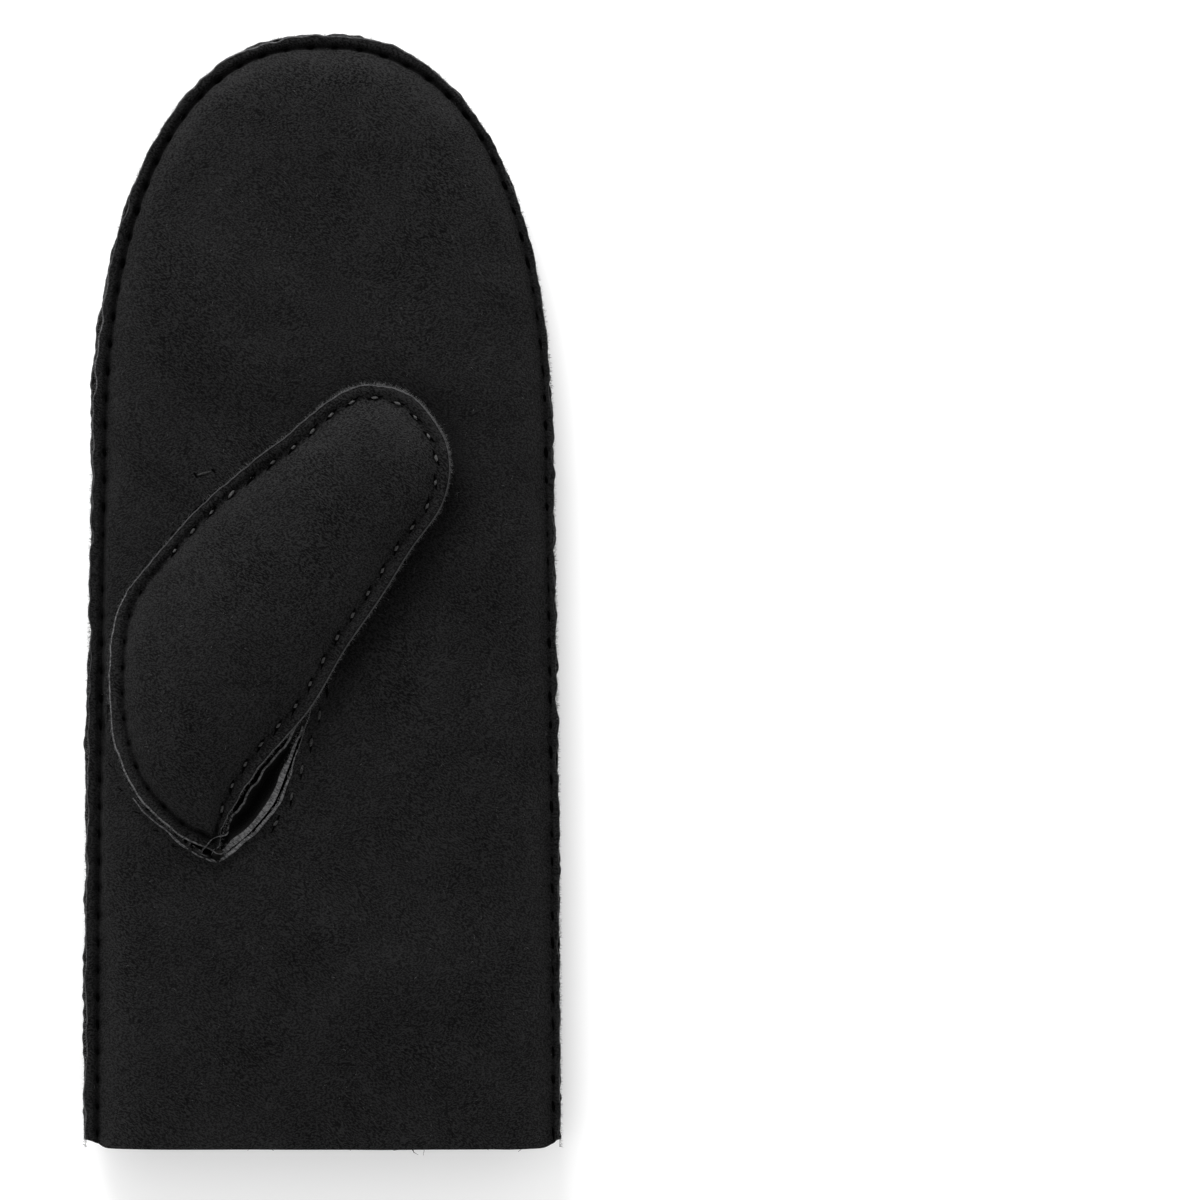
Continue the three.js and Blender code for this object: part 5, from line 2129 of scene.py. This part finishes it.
@dataclass
class EdgeFuzz:
    """Fine hairs that stand off the raw edges."""

    hand: HandPanels
    thumb: ThumbPanels
    finishes: Wardrobe
    hair: Strand = Strand(length=0.0011, radius=0.000045, sides=3, steps=3, curl=0.00025, turns=0.4)
    hairs_per_metre: int = 5200

    def scatter(
        self, line: Line, side: float, heights: np.ndarray, first: float, last: float, seed: int
    ) -> tuple[np.ndarray, np.ndarray]:
        """Return roots and directions of hairs along an edge.

        Args:
            line: The edge.
            side: 1 where outwards is left of the line, or -1.
            heights: Heights read at shares of the edge, as a table of two rows.
            first: Share at which the hairs start.
            last: Share at which they end.
            seed: Seed of the draws.

        Returns:
            Roots and directions.
        """
        draws = np.random.default_rng(seed)
        count = round(self.hairs_per_metre * line.length * (last - first))
        share = draws.uniform(first, last, count)
        tangent = line.tangent(share)
        outward = np.stack([-tangent[:, 1], tangent[:, 0]], axis=-1) * side
        z = np.interp(share, heights[0], heights[1]) + draws.uniform(-0.0008, 0.0001, count)
        roots = np.column_stack([line.at(share) - outward * 0.0002, z])
        spread = draws.normal(scale=0.7, size=(count, 1)) * tangent
        directions = np.column_stack([outward + spread, draws.normal(0.15, 0.45, count)])
        return roots, directions

    def build(self) -> bpy.types.Object:
        """Return the hairs of all raw edges."""
        hand, thumb = self.hand.form, self.thumb.form
        roots, directions = [], []
        shares = np.linspace(0.0, 1.0, 200)
        top = np.full(200, hand.seam_height + hand.seam_wall)
        bottom = np.full(200, hand.seam_height - hand.seam_wall + 0.0008)
        for seed, height in ((201, top), (202, bottom)):
            root, direction = self.scatter(
                self.hand.side, -1.0, np.array([shares, height]), 0.0, 1.0, seed)
            mirror = np.array([-1.0, 1.0, 1.0])
            roots += [root, root * mirror]
            directions += [direction, direction * mirror]
        for seed, line, side, lift in (
            (203, self.thumb.left, 1.0, thumb.left_lift(shares, self.thumb.sewn)),
            (204, self.thumb.right, -1.0, thumb.right_lift(shares)),
        ):
            edge = line.at(shares)
            height = hand.palm_top(edge[:, 0], edge[:, 1]) + lift + thumb.seam_wall - 0.0003
            root, direction = self.scatter(line, side, np.array([shares, height]), 0.02, 1.0, seed)
            roots.append(root)
            directions.append(direction)
            tip, lean = self.scatter(line, side, np.array([shares, height]), 0.84, 1.0, seed + 10)
            roots += [tip, tip - [0.0, 0.0, 0.0003]]
            directions += [1.5 * lean, lean]
        collar = self.thumb.collar
        for seed, offset, first, last, climb in (
            (205, 0.0004, 0.42, 1.0, 0.0016), (206, -0.0009, 0.45, 0.97, 0.0014), (207, -0.0004, 0.45, 0.97, 0.0014),
        ):
            edge = collar.hole.at(shares)
            height = hand.palm_top(edge[:, 0], edge[:, 1]) + climb
            root, direction = self.scatter(collar.hole, 1.0, np.array([shares, height]), first, last, seed)
            flat = direction[:, :2] / np.linalg.norm(direction[:, :2], axis=-1, keepdims=True)
            root[:, :2] += flat * offset
            direction[:, :2] *= np.sign(offset)
            direction[:, 2] += 0.8
            roots.append(root)
            directions.append(direction)
        roots, directions = np.vstack(roots), np.vstack(directions)
        draws = np.random.default_rng(9)
        sizes = np.column_stack([draws.uniform(0.35, 1.25, len(roots)), draws.uniform(0.7, 1.3, len(roots))])
        directions /= np.linalg.norm(directions, axis=-1, keepdims=True)
        places = roots + directions * (self.hair.length * sizes[:, :1] / 2)
        up = draws.normal(size=directions.shape)
        fuzz = self.hair.copies("edge_fuzz", places, directions, up, sizes, self.finishes.fuzz)
        return dress(fuzz, [])


@dataclass
class Lint:
    """Loose fibres that lie on the suede."""

    surface: Surface
    finishes: Wardrobe
    fibre: Strand = Strand(length=0.0011, radius=0.00003, sides=3, steps=3, curl=0.00016, turns=0.3)
    count: int = 900

    def build(self) -> bpy.types.Object:
        """Return the fibres, dropped from above onto the panels, as one piece."""
        draws = np.random.default_rng(17)
        places, normals = [], []
        for x, y in draws.uniform((-0.058, -0.138), (0.058, 0.138), size=(self.count, 2)):
            hit = self.surface.under(float(x), float(y))
            if hit:
                point, normal = hit
                places.append(point + normal * 0.00005)
                normals.append(normal)
        places, normals = np.array(places), np.array(normals)
        along = np.cross(normals, draws.normal(size=normals.shape))
        sizes = np.column_stack([draws.uniform(0.3, 1.3, len(places)), draws.uniform(0.6, 1.3, len(places))])
        lint = self.fibre.copies("lint", places, along, normals, sizes, self.finishes.fuzz)
        return dress(lint, [])


@dataclass(frozen=True)
class Studio:
    """Pale floor, soft lights and the camera straight above."""

    middle_x: float = 0.0698
    middle_y: float = -0.0022
    frame_width: float = 0.3036
    camera_height: float = 2.5
    floor_half: float = 3.0
    world_strength: float = 0.78
    key_power: float = 26.0
    fill_power: float = 3.0

    def build(self) -> None:
        """Build the floor, the lights and the camera."""
        self.build_floor()
        self.build_lights()
        self.build_camera()

    def build_floor(self) -> None:
        """Lay the pale floor."""
        deselect_all()
        bpy.ops.mesh.primitive_plane_add(size=2 * self.floor_half, location=(0, 0, 0))
        floor = bpy.context.object
        floor.name = "floor"
        material = bpy.data.materials.new("pale_floor")
        material.use_nodes = True
        shader = material.node_tree.nodes["Principled BSDF"]
        shader.inputs["Base Color"].default_value = (0.86, 0.86, 0.86, 1.0)
        shader.inputs["Roughness"].default_value = 0.9
        shader.inputs["Specular IOR Level"].default_value = 0.1
        shader.inputs["Emission Color"].default_value = (1.0, 1.0, 1.0, 1.0)
        shader.inputs["Emission Strength"].default_value = 0.2
        floor.data.materials.append(material)

    def build_lights(self) -> None:
        """Hang the key from the fingertips' side and two weaker fills."""
        world = bpy.data.worlds.new("studio")
        world.use_nodes = True
        background = world.node_tree.nodes["Background"]
        background.inputs["Color"].default_value = (1.0, 1.0, 1.0, 1.0)
        background.inputs["Strength"].default_value = self.world_strength
        bpy.context.scene.world = world
        self.area_light("key", (-0.3, 1.2, 0.65), 0.8, self.key_power)
        self.area_light("fill_right", (1.1, -0.5, 0.7), 0.9, self.fill_power)
        self.area_light("fill_left", (-1.1, -0.3, 0.7), 0.9, 0.4 * self.fill_power)

    def area_light(self, name: str, place: tuple[float, float, float], size: float, power: float) -> None:
        """Hang a square light that faces the mitten."""
        lamp = bpy.data.lights.new(name, "AREA")
        lamp.size = size
        lamp.energy = power
        light = bpy.data.objects.new(name, lamp)
        bpy.context.collection.objects.link(light)
        light.location = place
        aim = -light.location
        light.rotation_euler = aim.to_track_quat("-Z", "Y").to_euler()

    def build_camera(self) -> None:
        """Set the camera straight above, far away, with the frame's width of the photograph."""
        lens = bpy.data.cameras.new("camera")
        lens.sensor_width = 36.0
        lens.lens = lens.sensor_width * self.camera_height / self.frame_width
        lens.clip_end = 20.0
        camera = bpy.data.objects.new("camera", lens)
        bpy.context.collection.objects.link(camera)
        camera.location = (self.middle_x, self.middle_y, self.camera_height)
        bpy.context.scene.camera = camera
        bpy.context.scene.view_settings.view_transform = "Standard"


def main() -> None:
    """Build the studio and every piece of the mitten, in order."""
    logging.basicConfig(level=logging.INFO, format="%(message)s")
    Studio().build()
    back_low, back_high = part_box("back_panel")
    palm_low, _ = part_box("palm_panel")
    thumb_low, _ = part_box("thumb_front_panel")
    hand = HandForm(
        length=back_high.y - back_low.y,
        cuff_half_width=back_high.x,
        seam_height=(palm_low.z + back_high.z) / 2,
    )
    thumb = ThumbForm(hand=hand, lowest_x=thumb_low.x, lowest_y=thumb_low.y)
    finishes = Wardrobe(NapGroups.build())
    collar = Collar(thumb)
    hand_panels = HandPanels(hand, finishes)
    palm, _ = hand_panels.build(collar)
    collar.build_lip(Surface([palm]), finishes.thumb_edge, finishes.palm)
    collar.build_tags(finishes.hand_edge, finishes.palm)
    thumb_panels = ThumbPanels(thumb, collar, finishes)
    thumb_front, _ = thumb_panels.build()
    surface = Surface([palm, thumb_front])
    Stitching(hand_panels, thumb_panels, surface, finishes).build()
    Wool(hand, finishes).build()
    EdgeFuzz(hand_panels, thumb_panels, finishes).build()
    Lint(surface, finishes).build()


if __name__ == "__main__":
    main()
